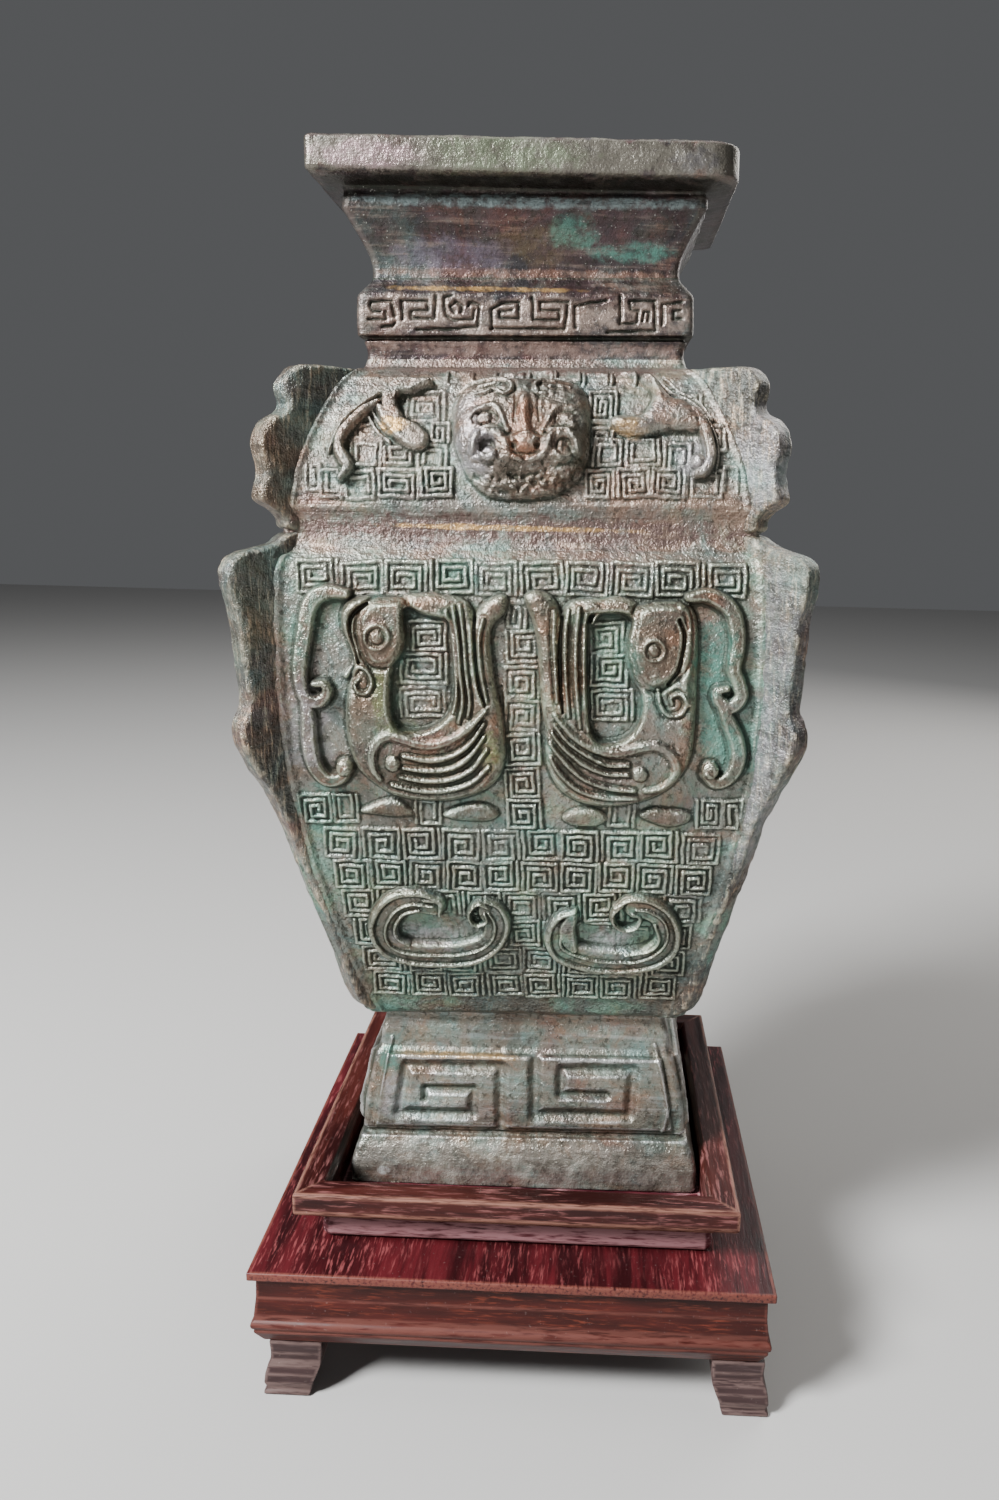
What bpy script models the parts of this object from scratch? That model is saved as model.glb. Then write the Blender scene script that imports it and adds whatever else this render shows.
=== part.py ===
"""A square bronze vase with relief ornament on a two-step wooden stand.

Metres, +Z up, +X to the viewer's right, the front faces -Y. The origin is on the ground under the
middle of the overall width. The vase is one hollow casting that stands loose in the stand's recess
and leans a little to the left, as the real one does.
"""

import math

import bmesh
import bpy
from mathutils import Matrix, Vector

GAP = 0.0003

# The stand's middle lies right of the origin, because the leaning vase reaches further left.
STAND_X = 0.0024

# Stand: four bracket feet, a moulded apron, a thin board, a riser and a frame around the recess.
FEET_HEIGHT = 0.0177
FEET_INSET = 0.0011
FEET_FLARE = 0.0017
FEET_WIDTH = 0.0162
FEET_BOTTOM_WIDTH = 0.0144
FEET_EDGE = 0.0008
FEET_SHIFT = 0.0019
APRON_HEIGHT = 0.0225
APRON_INSET = 0.0022
APRON_FLARE = 0.0008
APRON_BEAD = 0.0018
APRON_BEAD_ROUND = 0.0003
APRON_DRAW_IN = 0.0013
APRON_RAIL = 0.0088
BOARD_HALF_WIDTH = 0.0790
BOARD_THICKNESS = 0.0027
BOARD_EDGE = 0.0004
RISER_HEIGHT = 0.0067
RISER_ROUND = 0.0026
FOOT_PLAY = 0.0034
TRAY_RAIL = 0.0080
TRAY_OVERHANG = 0.0070
TRAY_HEIGHT = 0.0122
TRAY_EDGE = 0.0004
TRAY_LIP = 0.0015
TRAY_LIP_HEIGHT = 0.0025
TRAY_WAIST_HEIGHT = 0.0042
TRAY_UNDER_ROUND = 0.0020
TRAY_SHIFT = 0.0005

# Vase: heights above the recess floor and half-widths, outside. It is less deep than wide all over.
WIDTH_OVER_DEPTH = 0.0155
WALL = 0.0045
FLOOR_THICKNESS = 0.0060
FOOT_WALL = 0.0060
VASE_LEAN = math.radians(1.01)
VASE_SHIFT_X = 0.0011
VASE_SHIFT_Y = 0.0001

FOOT_BASE_HALF_WIDTH = 0.0566
FOOT_BASE_HEIGHT = 0.0080
FOOT_STEP_HEIGHT = 0.0160
FOOT_STEP_INSET = 0.0029
FOOT_GROOVE = 0.0012
FOOT_GROOVE_HEIGHT = 0.0025
FOOT_PANEL_INSET = 0.0009
FOOT_PANEL_TOP_HALF_WIDTH = 0.0486
FOOT_PANEL_TOP = 0.0440
FOOT_PANEL_SWELL = 0.0006
FOOT_NECK_HALF_WIDTH = 0.0456
FOOT_HEIGHT = 0.0570

BODY_BOTTOM_HALF_WIDTH = 0.0518
BODY_UNDER_EDGE = 0.0050
BELLY_HALF_WIDTH = 0.0728
BODY_HEIGHT = 0.1480
BELLY_SHARE = 0.78
BODY_CURVE = 1.87
BODY_TOP_DRAW_IN = 0.0009

WAIST_HALF_WIDTH = 0.0671
WAIST_HEIGHT = 0.0105

SHOULDER_HALF_WIDTH = 0.0684
SHOULDER_TOP_HALF_WIDTH = 0.0573
SHOULDER_HEIGHT = 0.0415
SHOULDER_CURVE = 1.58
SHOULDER_LIP = 0.0045
SHOULDER_BEND = 0.0050

COLLAR_HALF_WIDTH = 0.0458
COLLAR_HEIGHT = 0.0080
BAND_HALF_WIDTH = 0.0481
BAND_HEIGHT = 0.0150
NECK_HALF_WIDTH = 0.0440
NECK_TOP_HALF_WIDTH = 0.0502
NECK_HEIGHT = 0.0185
NECK_CURVE = 1.53
FILLET_HALF_WIDTH = 0.0510
FILLET_HEIGHT = 0.0040
RIM_HALF_WIDTH = 0.0577
RIM_UNDERCUT_HEIGHT = 0.0035
RIM_HEIGHT = 0.0082
RIM_SLOPE = 0.0208
MOUTH_WALL = 0.0085

FOOT_CORNER = 0.0020
BODY_CORNER = 0.0030
NECK_CORNER = 0.0022
RIM_CORNER = 0.0028
RIM_WORN_CORNER = 0.0070

# Edges of the casting: how high and how far the worn ones round off, and how much a ledge slopes.
SOFT_EDGE = 0.0020
FINE_EDGE = 0.0008
LEDGE_SLOPE = 0.0003

FLANGE_THICKNESS = 0.0070
BODY_FLANGE_REACH = 0.0082
SHOULDER_FLANGE_REACH = 0.0089

RELIEF_HEIGHT = 0.0026
FOOT_RELIEF_HEIGHT = 0.0013
MASK_HEIGHT = 0.0085

# Sizes and levels that follow from those above. The recess fits the vase's foot with some play.
APRON_HALF_WIDTH = BOARD_HALF_WIDTH - APRON_INSET
TRAY_OPENING = FOOT_BASE_HALF_WIDTH + FOOT_PLAY
TRAY_HALF_WIDTH = TRAY_OPENING + TRAY_RAIL
RISER_HALF_WIDTH = TRAY_HALF_WIDTH - TRAY_OVERHANG
FOOT_STEP_HALF_WIDTH = FOOT_BASE_HALF_WIDTH - FOOT_STEP_INSET
FOOT_PANEL_HALF_WIDTH = FOOT_STEP_HALF_WIDTH - FOOT_PANEL_INSET

APRON_BOTTOM = FEET_HEIGHT + GAP
APRON_TOP = APRON_BOTTOM + APRON_HEIGHT
BOARD_BOTTOM = APRON_TOP + GAP
BOARD_TOP = BOARD_BOTTOM + BOARD_THICKNESS
RISER_BOTTOM = BOARD_TOP + GAP
RECESS_FLOOR = RISER_BOTTOM + RISER_HEIGHT
TRAY_BOTTOM = RECESS_FLOOR + GAP

BODY_BOTTOM = FOOT_HEIGHT
BODY_TOP = BODY_BOTTOM + BODY_HEIGHT
SHOULDER_BOTTOM = BODY_TOP + WAIST_HEIGHT
SHOULDER_TOP = SHOULDER_BOTTOM + SHOULDER_HEIGHT
BAND_BOTTOM = SHOULDER_TOP + COLLAR_HEIGHT
BAND_TOP = BAND_BOTTOM + BAND_HEIGHT
NECK_TOP = BAND_TOP + NECK_HEIGHT
RIM_BOTTOM = NECK_TOP + FILLET_HEIGHT + RIM_UNDERCUT_HEIGHT
RIM_TOP = RIM_BOTTOM + RIM_HEIGHT


def material(name, colour, roughness, metallic):
    made = bpy.data.materials.new(name)
    made.use_nodes = True
    shader = made.node_tree.nodes["Principled BSDF"]
    shader.inputs["Base Color"].default_value = (*colour, 1.0)
    shader.inputs["Roughness"].default_value = roughness
    shader.inputs["Metallic"].default_value = metallic
    return made


def collection(name):
    made = bpy.data.collections.new(name)
    bpy.context.scene.collection.children.link(made)
    return made


def clear_scene():
    for item in list(bpy.data.objects):
        bpy.data.objects.remove(item, do_unlink=True)


def add_object(name, bm, home, finish=None):
    """Turn a bmesh into a named object in the given collection."""
    bmesh.ops.recalc_face_normals(bm, faces=bm.faces)
    mesh = bpy.data.meshes.new(name)
    bm.to_mesh(mesh)
    bm.free()
    made = bpy.data.objects.new(name, mesh)
    home.objects.link(made)
    if finish:
        mesh.materials.append(finish)
    return made


def helper(made):
    """Keep a cutter or a joined form out of renders."""
    made.hide_render = True
    made.display_type = "WIRE"
    return made


def bevel(made, width, segments):
    added = made.modifiers.new("rounded_edges", "BEVEL")
    added.width = width
    added.segments = segments
    added.limit_method = "ANGLE"


def boolean(made, name, operation, others):
    """Join or cut a mesh with an object, or with every object of a collection."""
    added = made.modifiers.new(name, "BOOLEAN")
    added.operation = operation
    added.solver = "EXACT"
    if isinstance(others, bpy.types.Collection):
        added.operand_type = "COLLECTION"
        added.collection = others
    else:
        added.object = others


def skin(bm, rings, closed=False):
    """Faces between consecutive rings of vertices, with caps on the ends unless the row is closed."""
    rows = [[bm.verts.new(point) for point in ring] for ring in rings]
    pairs = list(zip(rows, rows[1:]))
    if closed:
        pairs.append((rows[-1], rows[0]))
    for low, high in pairs:
        for i in range(len(low)):
            j = (i + 1) % len(low)
            bm.faces.new((low[i], low[j], high[j], high[i]))
    if not closed:
        bm.faces.new(list(reversed(rows[0])))
        bm.faces.new(rows[-1])


# The stand


def slab(name, half_width, bottom, height, home, finish):
    bm = bmesh.new()
    bmesh.ops.create_cube(bm, size=1.0)
    bmesh.ops.scale(bm, vec=(2 * half_width, 2 * half_width, height), verts=bm.verts)
    made = add_object(name, bm, home, finish)
    made.location = (0.0, 0.0, bottom + height / 2)
    return made


def mitred_frame(name, profile, home, finish):
    """A square frame: its profile, points of (half-width, height), goes round four mitred corners."""
    bm = bmesh.new()
    corners = [(-1, -1), (1, -1), (1, 1), (-1, 1)]
    rings = [[(sx * w, sy * w, z) for w, z in profile] for sx, sy in corners]
    skin(bm, rings, closed=True)
    return add_object(name, bm, home, finish)


def make_foot(name, side_x, side_y, home, finish):
    """A bracket foot: drawn in under the apron, kneed at half height and flared at the ground."""
    knee = 0.55 * FEET_HEIGHT
    top_outer = APRON_HALF_WIDTH - FEET_INSET
    top_inner = top_outer - FEET_WIDTH
    ground_outer = top_outer + FEET_FLARE
    ground_inner = ground_outer - FEET_BOTTOM_WIDTH
    draw_in = ground_inner - top_inner
    stations = [
        (0.0, ground_outer, ground_inner),
        (0.4 * knee, ground_outer - 0.3 * FEET_FLARE, ground_inner - 0.35 * draw_in),
        (knee, top_outer + 0.5 * FEET_FLARE, top_inner + 0.25 * draw_in),
        (1.2 * knee, top_outer, top_inner + 0.1 * draw_in),
        (FEET_HEIGHT, top_outer, top_inner),
    ]
    bm = bmesh.new()
    rings = []
    for z, outer, inner in stations:
        rings.append([(inner, inner, z), (outer, inner, z), (outer, outer, z), (inner, outer, z)])
    skin(bm, rings)
    bmesh.ops.scale(bm, vec=(side_x, side_y, 1.0), verts=bm.verts)
    made = add_object(name, bm, home, finish)
    made.location.x = FEET_SHIFT
    bevel(made, FEET_EDGE, 1)
    return made


def make_stand(home, finish):
    place = bpy.data.objects.new("stand_place", None)
    home.objects.link(place)
    place.location.x = STAND_X
    sides = {"left": -1, "right": 1, "front": -1, "back": 1}
    for depth in ("front", "back"):
        for width in ("left", "right"):
            make_foot(f"foot_{depth}_{width}", sides[width], sides[depth], home, finish)

    bottom = APRON_BOTTOM
    bead = APRON_HALF_WIDTH + APRON_BEAD
    apron_inner = APRON_HALF_WIDTH - APRON_RAIL
    apron = [
        (apron_inner, bottom),
        (APRON_HALF_WIDTH - APRON_DRAW_IN, bottom),
        (bead - APRON_BEAD_ROUND, bottom + 0.22 * APRON_HEIGHT),
        (bead, bottom + 0.31 * APRON_HEIGHT),
        (bead - APRON_BEAD_ROUND, bottom + 0.38 * APRON_HEIGHT),
        (APRON_HALF_WIDTH + APRON_FLARE, bottom + 0.45 * APRON_HEIGHT),
        (APRON_HALF_WIDTH + 0.2 * APRON_FLARE, bottom + 0.7 * APRON_HEIGHT),
        (APRON_HALF_WIDTH, APRON_TOP),
        (apron_inner, APRON_TOP),
    ]
    mitred_frame("stand_apron", apron, home, finish)

    board = slab("stand_board", BOARD_HALF_WIDTH, BOARD_BOTTOM, BOARD_THICKNESS, home, finish)
    bevel(board, BOARD_EDGE, 1)
    riser = slab("stand_riser", RISER_HALF_WIDTH, RISER_BOTTOM, RISER_HEIGHT, home, finish)
    riser.location.x = TRAY_SHIFT
    bevel(riser, RISER_ROUND, 3)

    top = TRAY_BOTTOM + TRAY_HEIGHT
    seat = TRAY_BOTTOM + TRAY_WAIST_HEIGHT
    tray = [
        (TRAY_OPENING - TRAY_LIP, TRAY_BOTTOM),
        (RISER_HALF_WIDTH, TRAY_BOTTOM),
        (RISER_HALF_WIDTH, seat),
        (TRAY_HALF_WIDTH - 0.6 * TRAY_UNDER_ROUND, seat + 0.3 * TRAY_UNDER_ROUND),
        (TRAY_HALF_WIDTH, seat + TRAY_UNDER_ROUND),
        (TRAY_HALF_WIDTH, top - TRAY_EDGE),
        (TRAY_HALF_WIDTH - TRAY_EDGE, top),
        (TRAY_OPENING, top),
        (TRAY_OPENING - TRAY_LIP, top - TRAY_LIP_HEIGHT),
    ]
    mitred_frame("tray_frame", tray, home, finish).location.x = TRAY_SHIFT
    for made in home.objects:
        if made != place:
            made.parent = place


# The vase's outside and inside


def curve_between(low, high, bottom, top, power, steps, widest_at_top):
    """Stations of (height, half-width) along a curve that is upright at its wide or its narrow end."""
    stations = []
    for i in range(steps + 1):
        share = i / steps
        if widest_at_top:
            half_width = high - (high - low) * (1 - share) ** power
        else:
            half_width = low + (high - low) * share**power
        stations.append((bottom + (top - bottom) * share, half_width))
    return stations


def foot_profile():
    groove_top = FOOT_STEP_HEIGHT + FOOT_GROOVE_HEIGHT
    middle = 0.5 * (groove_top + FOOT_PANEL_TOP)
    return [
        (-WALL, FOOT_BASE_HALF_WIDTH),
        (FOOT_BASE_HEIGHT, FOOT_BASE_HALF_WIDTH),
        (FOOT_STEP_HEIGHT - SOFT_EDGE, FOOT_STEP_HALF_WIDTH + FINE_EDGE),
        (FOOT_STEP_HEIGHT, FOOT_STEP_HALF_WIDTH),
        (FOOT_STEP_HEIGHT + LEDGE_SLOPE, FOOT_PANEL_HALF_WIDTH - FOOT_GROOVE),
        (groove_top - LEDGE_SLOPE, FOOT_PANEL_HALF_WIDTH - FOOT_GROOVE),
        (groove_top, FOOT_PANEL_HALF_WIDTH),
        (middle, 0.5 * (FOOT_PANEL_HALF_WIDTH + FOOT_PANEL_TOP_HALF_WIDTH) + FOOT_PANEL_SWELL),
        (FOOT_PANEL_TOP, FOOT_PANEL_TOP_HALF_WIDTH),
        (FOOT_PANEL_TOP + 0.75 * SOFT_EDGE, FOOT_PANEL_TOP_HALF_WIDTH - FINE_EDGE),
        (FOOT_HEIGHT - 0.5 * SOFT_EDGE, FOOT_NECK_HALF_WIDTH),
    ]


def body_profile():
    belly = BODY_BOTTOM + BELLY_SHARE * BODY_HEIGHT
    start = BODY_BOTTOM + BODY_UNDER_EDGE
    top_half_width = BELLY_HALF_WIDTH - BODY_TOP_DRAW_IN
    under_edge = 0.4 * FOOT_NECK_HALF_WIDTH + 0.6 * BODY_BOTTOM_HALF_WIDTH
    flare = curve_between(BODY_BOTTOM_HALF_WIDTH, BELLY_HALF_WIDTH, start, belly, BODY_CURVE, 8, True)
    return [
        (BODY_BOTTOM + LEDGE_SLOPE, under_edge),
        *flare,
        (BODY_TOP - 2 * SOFT_EDGE, top_half_width),
        (BODY_TOP - 0.75 * SOFT_EDGE, top_half_width - FINE_EDGE),
        (BODY_TOP + SOFT_EDGE, WAIST_HALF_WIDTH + FINE_EDGE),
    ]


def shoulder_profile():
    start = SHOULDER_BOTTOM + SHOULDER_LIP
    end = SHOULDER_TOP - SHOULDER_BEND
    slope = curve_between(
        SHOULDER_TOP_HALF_WIDTH, SHOULDER_HALF_WIDTH, end, start, SHOULDER_CURVE, 5, True
    )
    return [
        (BODY_TOP + 2.5 * SOFT_EDGE, WAIST_HALF_WIDTH),
        (SHOULDER_BOTTOM, WAIST_HALF_WIDTH),
        (SHOULDER_BOTTOM + 1.5 * SOFT_EDGE, SHOULDER_HALF_WIDTH),
        *reversed(slope),
        (SHOULDER_TOP - SOFT_EDGE, SHOULDER_TOP_HALF_WIDTH - 1.5 * SOFT_EDGE),
        (SHOULDER_TOP, 0.5 * (SHOULDER_TOP_HALF_WIDTH + COLLAR_HALF_WIDTH)),
        (SHOULDER_TOP + FINE_EDGE, COLLAR_HALF_WIDTH + FINE_EDGE),
    ]


def neck_profile():
    flare_bottom = BAND_TOP + 2 * SOFT_EDGE
    flare = curve_between(
        NECK_HALF_WIDTH, NECK_TOP_HALF_WIDTH, flare_bottom, NECK_TOP, NECK_CURVE, 4, False
    )
    return [
        (SHOULDER_TOP + 0.5 * COLLAR_HEIGHT, COLLAR_HALF_WIDTH),
        (BAND_BOTTOM, COLLAR_HALF_WIDTH + FINE_EDGE),
        (BAND_BOTTOM + 1.25 * SOFT_EDGE, BAND_HALF_WIDTH),
        (BAND_TOP - 1.75 * SOFT_EDGE, BAND_HALF_WIDTH),
        (BAND_TOP, NECK_HALF_WIDTH + 0.75 * SOFT_EDGE),
        (BAND_TOP + SOFT_EDGE, NECK_HALF_WIDTH),
        *flare,
        (NECK_TOP + FINE_EDGE, FILLET_HALF_WIDTH),
        (NECK_TOP + FILLET_HEIGHT, FILLET_HALF_WIDTH),
    ]


def rim_profile():
    return [
        (RIM_BOTTOM - RIM_UNDERCUT_HEIGHT + 0.2 * SOFT_EDGE, FILLET_HALF_WIDTH - 0.3 * SOFT_EDGE),
        (RIM_BOTTOM - 0.5 * SOFT_EDGE, RIM_HALF_WIDTH - 0.6 * SOFT_EDGE),
        (RIM_BOTTOM, RIM_HALF_WIDTH),
        (RIM_TOP - FINE_EDGE, RIM_HALF_WIDTH),
        (RIM_TOP, RIM_HALF_WIDTH - FINE_EDGE),
    ]


def outside_profile():
    return foot_profile() + body_profile() + shoulder_profile() + neck_profile()


def half_width_at(z):
    """The vase's outside half-width at a height, read off its profile."""
    stations = outside_profile()
    for (z0, w0), (z1, w1) in zip(stations, stations[1:]):
        if z0 <= z <= z1:
            return w0 + (w1 - w0) * (z - z0) / (z1 - z0)
    return stations[-1][1]


def section(z, half_width, corner, slope=0.0, worn_corner=None):
    """A level ring of the vase: a rectangle with cut corners, tipped down to the right by a slope."""
    half_depth = half_width - WIDTH_OVER_DEPTH
    points = []
    for sx, sy in [(-1, -1), (1, -1), (1, 1), (-1, 1)]:
        cut = worn_corner if worn_corner and (sx, sy) == (1, -1) else corner
        along_depth = (sx * half_width, sy * (half_depth - cut))
        along_width = (sx * (half_width - cut), sy * half_depth)
        points += [along_depth, along_width] if sx == sy else [along_width, along_depth]
    return [(x, y, z - slope * x) for x, y in points]


def outside_form(name, home, finish):
    rings = []
    for z, w in foot_profile():
        rings.append(section(z, w, FOOT_CORNER))
    for z, w in body_profile() + shoulder_profile():
        rings.append(section(z, w, BODY_CORNER))
    for z, w in neck_profile():
        rings.append(section(z, w, NECK_CORNER))
    for z, w in rim_profile():
        rings.append(section(z, w, RIM_CORNER, RIM_SLOPE, RIM_WORN_CORNER))
    bm = bmesh.new()
    skin(bm, rings)
    return add_object(name, bm, home, finish)


def inside_form(home):
    """The hollow of the vessel, from its floor to above the rim."""
    belly = BODY_BOTTOM + BELLY_SHARE * BODY_HEIGHT
    mouth = RIM_HALF_WIDTH - MOUTH_WALL
    stations = [
        (FOOT_HEIGHT, FOOT_NECK_HALF_WIDTH - WALL),
        (BODY_BOTTOM + 3 * SOFT_EDGE, BODY_BOTTOM_HALF_WIDTH - WALL),
    ]
    for i in range(1, 6):
        z = BODY_BOTTOM + (belly - BODY_BOTTOM) * i / 5
        stations.append((z, half_width_at(z) - WALL))
    stations += [
        (BODY_TOP - 6 * SOFT_EDGE, BELLY_HALF_WIDTH - BODY_TOP_DRAW_IN - WALL),
        (BODY_TOP, WAIST_HALF_WIDTH - WALL),
        (SHOULDER_BOTTOM, WAIST_HALF_WIDTH - WALL),
    ]
    for i in range(1, 5):
        z = SHOULDER_BOTTOM + (SHOULDER_HEIGHT - WALL) * i / 5
        stations.append((z, half_width_at(z) - 1.1 * WALL))
    stations += [
        (SHOULDER_TOP - 1.2 * WALL, SHOULDER_TOP_HALF_WIDTH - 1.6 * WALL),
        (SHOULDER_TOP, COLLAR_HALF_WIDTH - WALL),
        (BAND_TOP - 1.75 * SOFT_EDGE, NECK_HALF_WIDTH - WALL),
        (BAND_TOP + 2.5 * SOFT_EDGE, NECK_HALF_WIDTH - WALL),
        (NECK_TOP, NECK_TOP_HALF_WIDTH - 1.2 * WALL),
        (RIM_BOTTOM, mouth),
        (RIM_TOP + WALL, mouth + FINE_EDGE),
    ]
    bm = bmesh.new()
    skin(bm, [section(z, w, BODY_CORNER) for z, w in stations])
    return helper(add_object("vessel_hollow", bm, home))


def foot_hollow(home):
    """The hollow under the vase's floor, one foot wall inside the narrowest part above each level."""
    top = FOOT_HEIGHT - FLOOR_THICKNESS
    in_groove = FOOT_PANEL_HALF_WIDTH - FOOT_GROOVE
    stations = [
        (-2 * WALL, FOOT_BASE_HALF_WIDTH - FOOT_WALL),
        (0.0, FOOT_BASE_HALF_WIDTH - FOOT_WALL),
        (FOOT_STEP_HEIGHT + FOOT_GROOVE_HEIGHT, in_groove - 0.8 * FOOT_WALL),
        (top, FOOT_NECK_HALF_WIDTH - 0.8 * FOOT_WALL),
    ]
    bm = bmesh.new()
    skin(bm, [section(z, w, FOOT_CORNER) for z, w in stations])
    return helper(add_object("foot_hollow", bm, home))


def foot_trim(home):
    """A block under the recess floor that cuts the leaning vase's foot level."""
    size = 4 * FOOT_BASE_HALF_WIDTH
    bm = bmesh.new()
    bmesh.ops.create_cube(bm, size=size)
    made = add_object("foot_trim", bm, home)
    made.location.z = RECESS_FLOOR + GAP - size / 2
    return helper(made)


# Corner flanges. Each outline gives shares of the section's height and of the flange's reach.

BODY_FLANGE = [
    (0.018, -0.25),
    (0.024, 0.0),
    (0.037, 0.07),
    (0.108, 0.04),
    (0.28, 0.02),
    (0.40, 0.05),
    (0.49, 0.12),
    (0.55, 0.39),
    (0.61, 0.73),
    (0.66, 0.87),
    (0.70, 0.71),
    (0.725, 0.55),
    (0.79, 0.59),
    (0.87, 0.68),
    (0.925, 0.89),
    (0.965, 0.99),
    (0.995, 1.0),
    (1.010, 0.90),
    (1.018, 0.56),
    (1.027, 0.22),
]
SHOULDER_FLANGE = [
    (0.01, 0.07),
    (0.055, 0.18),
    (0.10, 0.38),
    (0.135, 0.47),
    (0.20, 0.45),
    (0.27, 0.44),
    (0.35, 0.54),
    (0.42, 0.70),
    (0.51, 0.87),
    (0.58, 0.90),
    (0.63, 0.83),
    (0.665, 0.63),
    (0.71, 0.61),
    (0.785, 0.81),
    (0.855, 1.0),
    (0.915, 0.92),
    (0.965, 0.75),
    (0.988, 0.53),
]


def add_flange(name, outline, bottom, height, reach, corner, home):
    """A plate set on edge across one corner, standing out beyond the walls along its hooked outline."""
    root = FOOT_NECK_HALF_WIDTH - 2 * WALL
    points = []
    for up, out in outline:
        z = bottom + up * height
        wall = half_width_at(min(z, SHOULDER_TOP - SHOULDER_BEND))
        points.append(((wall + out * reach) * math.sqrt(2), z))
    top = points[-1][1]
    points += [(root * math.sqrt(2), top), (root * math.sqrt(2), points[0][1])]

    curve = bpy.data.curves.new(name, "CURVE")
    curve.dimensions = "2D"
    curve.fill_mode = "BOTH"
    curve.extrude = FLANGE_THICKNESS / 2
    spline = curve.splines.new("POLY")
    spline.points.add(len(points) - 1)
    for point, (x, z) in zip(spline.points, points):
        point.co = (x, z, 0.0, 1.0)
    spline.use_cyclic_u = True
    flat = bpy.data.objects.new(name + "_outline", curve)
    bpy.context.scene.collection.objects.link(flat)
    graph = bpy.context.evaluated_depsgraph_get()
    mesh = bpy.data.meshes.new_from_object(flat.evaluated_get(graph))
    bpy.data.objects.remove(flat, do_unlink=True)

    sx, sy = corner
    outward = Vector((sx, sy, 0.0)).normalized()
    across = outward.cross(Vector((0.0, 0.0, 1.0)))
    turn = Matrix((outward, (0.0, 0.0, 1.0), across)).transposed().to_4x4()
    place = Matrix.Translation((0.0, -sy * WIDTH_OVER_DEPTH, 0.0)) @ turn
    bm = bmesh.new()
    bm.from_mesh(mesh)
    bpy.data.meshes.remove(mesh)
    bmesh.ops.remove_doubles(bm, verts=bm.verts, dist=0.00001)
    bm.transform(place)
    return helper(add_object(name, bm, home))


# Relief. The body fills the drawing from z = BODY_FROM to BODY_TO, x is from the middle of the face,
# and each stroke is a row of (x, z, half its width). Strokes wider than WIDE are rounded more finely.

BODY_FROM = 57
BODY_TO = 205
WIDE = 3.0
FACES = {"front": 0, "right": 1, "back": 2, "left": 3}

BIRD_BODY = [
    (39.5, 185.5, 6.8), (41.5, 177, 6.4), (43.2, 168, 5.0), (43.2, 159, 5.2), (42, 152.5, 6.2),
    (35.5, 146, 8.5), (25, 144.3, 9.0), (15, 147, 8.2), (9.2, 155.5, 5.0), (8.2, 167, 3.5),
    (8.6, 178, 3.5), (8.2, 186, 4.6), (5.4, 192, 3.0),
]
BIRD_CREST = [
    (41, 191.8, 2.2), (33, 192.2, 2.3), (24, 192, 2.3), (18, 189, 2.6), (15.2, 182.5, 2.7),
    (14.6, 172.5, 2.7), (12.8, 163.5, 2.2),
]
BIRD_CREST_HOOK = [(27, 191.4, 1.8), (23.6, 188.5, 1.9), (22.4, 184.6, 1.3)]
BIRD_PLUME = [
    (46, 192, 2.0), (52, 191.3, 2.6), (56.6, 188, 2.6), (58.6, 181.5, 2.4), (59, 173.5, 2.5),
    (58.4, 168.5, 2.9), (55.4, 167.2, 2.2),
]
BIRD_LEG = [
    (50.3, 188.5, 2.0), (50.6, 180, 3.2), (50.8, 172, 3.2), (52.4, 165, 2.8), (54.6, 157.5, 2.6),
    (56.2, 151, 2.5), (55.4, 146, 2.6), (52, 145.6, 2.6),
]
BIRD_WING = [
    (33.5, 142.5, 1.5), (39.5, 144.5, 1.5), (40.6, 150, 1.5), (36.6, 154.4, 1.6), (29.5, 153.8, 1.6),
    (21.5, 152.8, 1.6), (14, 156.5, 1.5), (9.2, 162, 1.2),
]
BIRD_FEATHERS = [
    [(31.5, 149.5, 0.9), (24, 148.8, 0.9), (16.5, 151.2, 0.9), (10.5, 156.8, 0.8)],
    [(30.5, 145.2, 0.9), (23, 144.2, 0.9), (15, 146.8, 0.9), (9, 152.8, 0.8)],
]
BIRD_CLAWS = [
    [(46, 131, 0.8), (42, 132, 2.0), (36, 132, 1.8), (32.5, 131, 0.8)],
    [(20, 130, 0.8), (15.5, 130.8, 2.0), (11, 130.8, 1.8), (7.3, 130, 0.8)],
]
BIRD_BOSSES = [(38.8, 182, 3.0), (43.6, 168.8, 3.4), (35.2, 147.6, 2.6)]

VOLUTE_NEAR_LEFT = [
    (-24, 101, 3.6), (-31, 102.3, 3.4), (-38, 100.2, 3.3), (-41.7, 94.5, 3.3), (-40.5, 88.8, 3.3),
    (-35.5, 85.2, 3.2), (-25.5, 83.7, 3.0), (-15, 85.3, 3.1), (-9, 90, 3.2), (-8.2, 95.6, 2.7),
    (-10.8, 98.8, 2.0),
]
VOLUTE_NEAR_RIGHT = [
    (15.2, 94.5, 3.2), (12.8, 89.8, 3.4), (15.8, 85.2, 3.4), (22, 83, 3.2), (31, 82.3, 3.1),
    (39.5, 84.6, 3.2), (45.4, 90, 3.3), (46.2, 96, 3.2), (42, 99.8, 3.0), (36, 100.4, 2.5),
    (31.6, 98.2, 2.0),
]
LEFT_DRAGON = [
    [(-28, 252, 1.6), (-33.4, 251.2, 2.2), (-36.4, 247.2, 2.5), (-35.6, 242.6, 2.8), (-31.2, 239, 3.3),
     (-26.6, 236.2, 3.4), (-23.8, 234, 2.0)],
    [(-39.6, 243.6, 2.0), (-43.6, 241.6, 2.2), (-47.2, 238, 2.2), (-48.8, 233.4, 2.2), (-47.6, 228.6, 1.8)],
]
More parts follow.
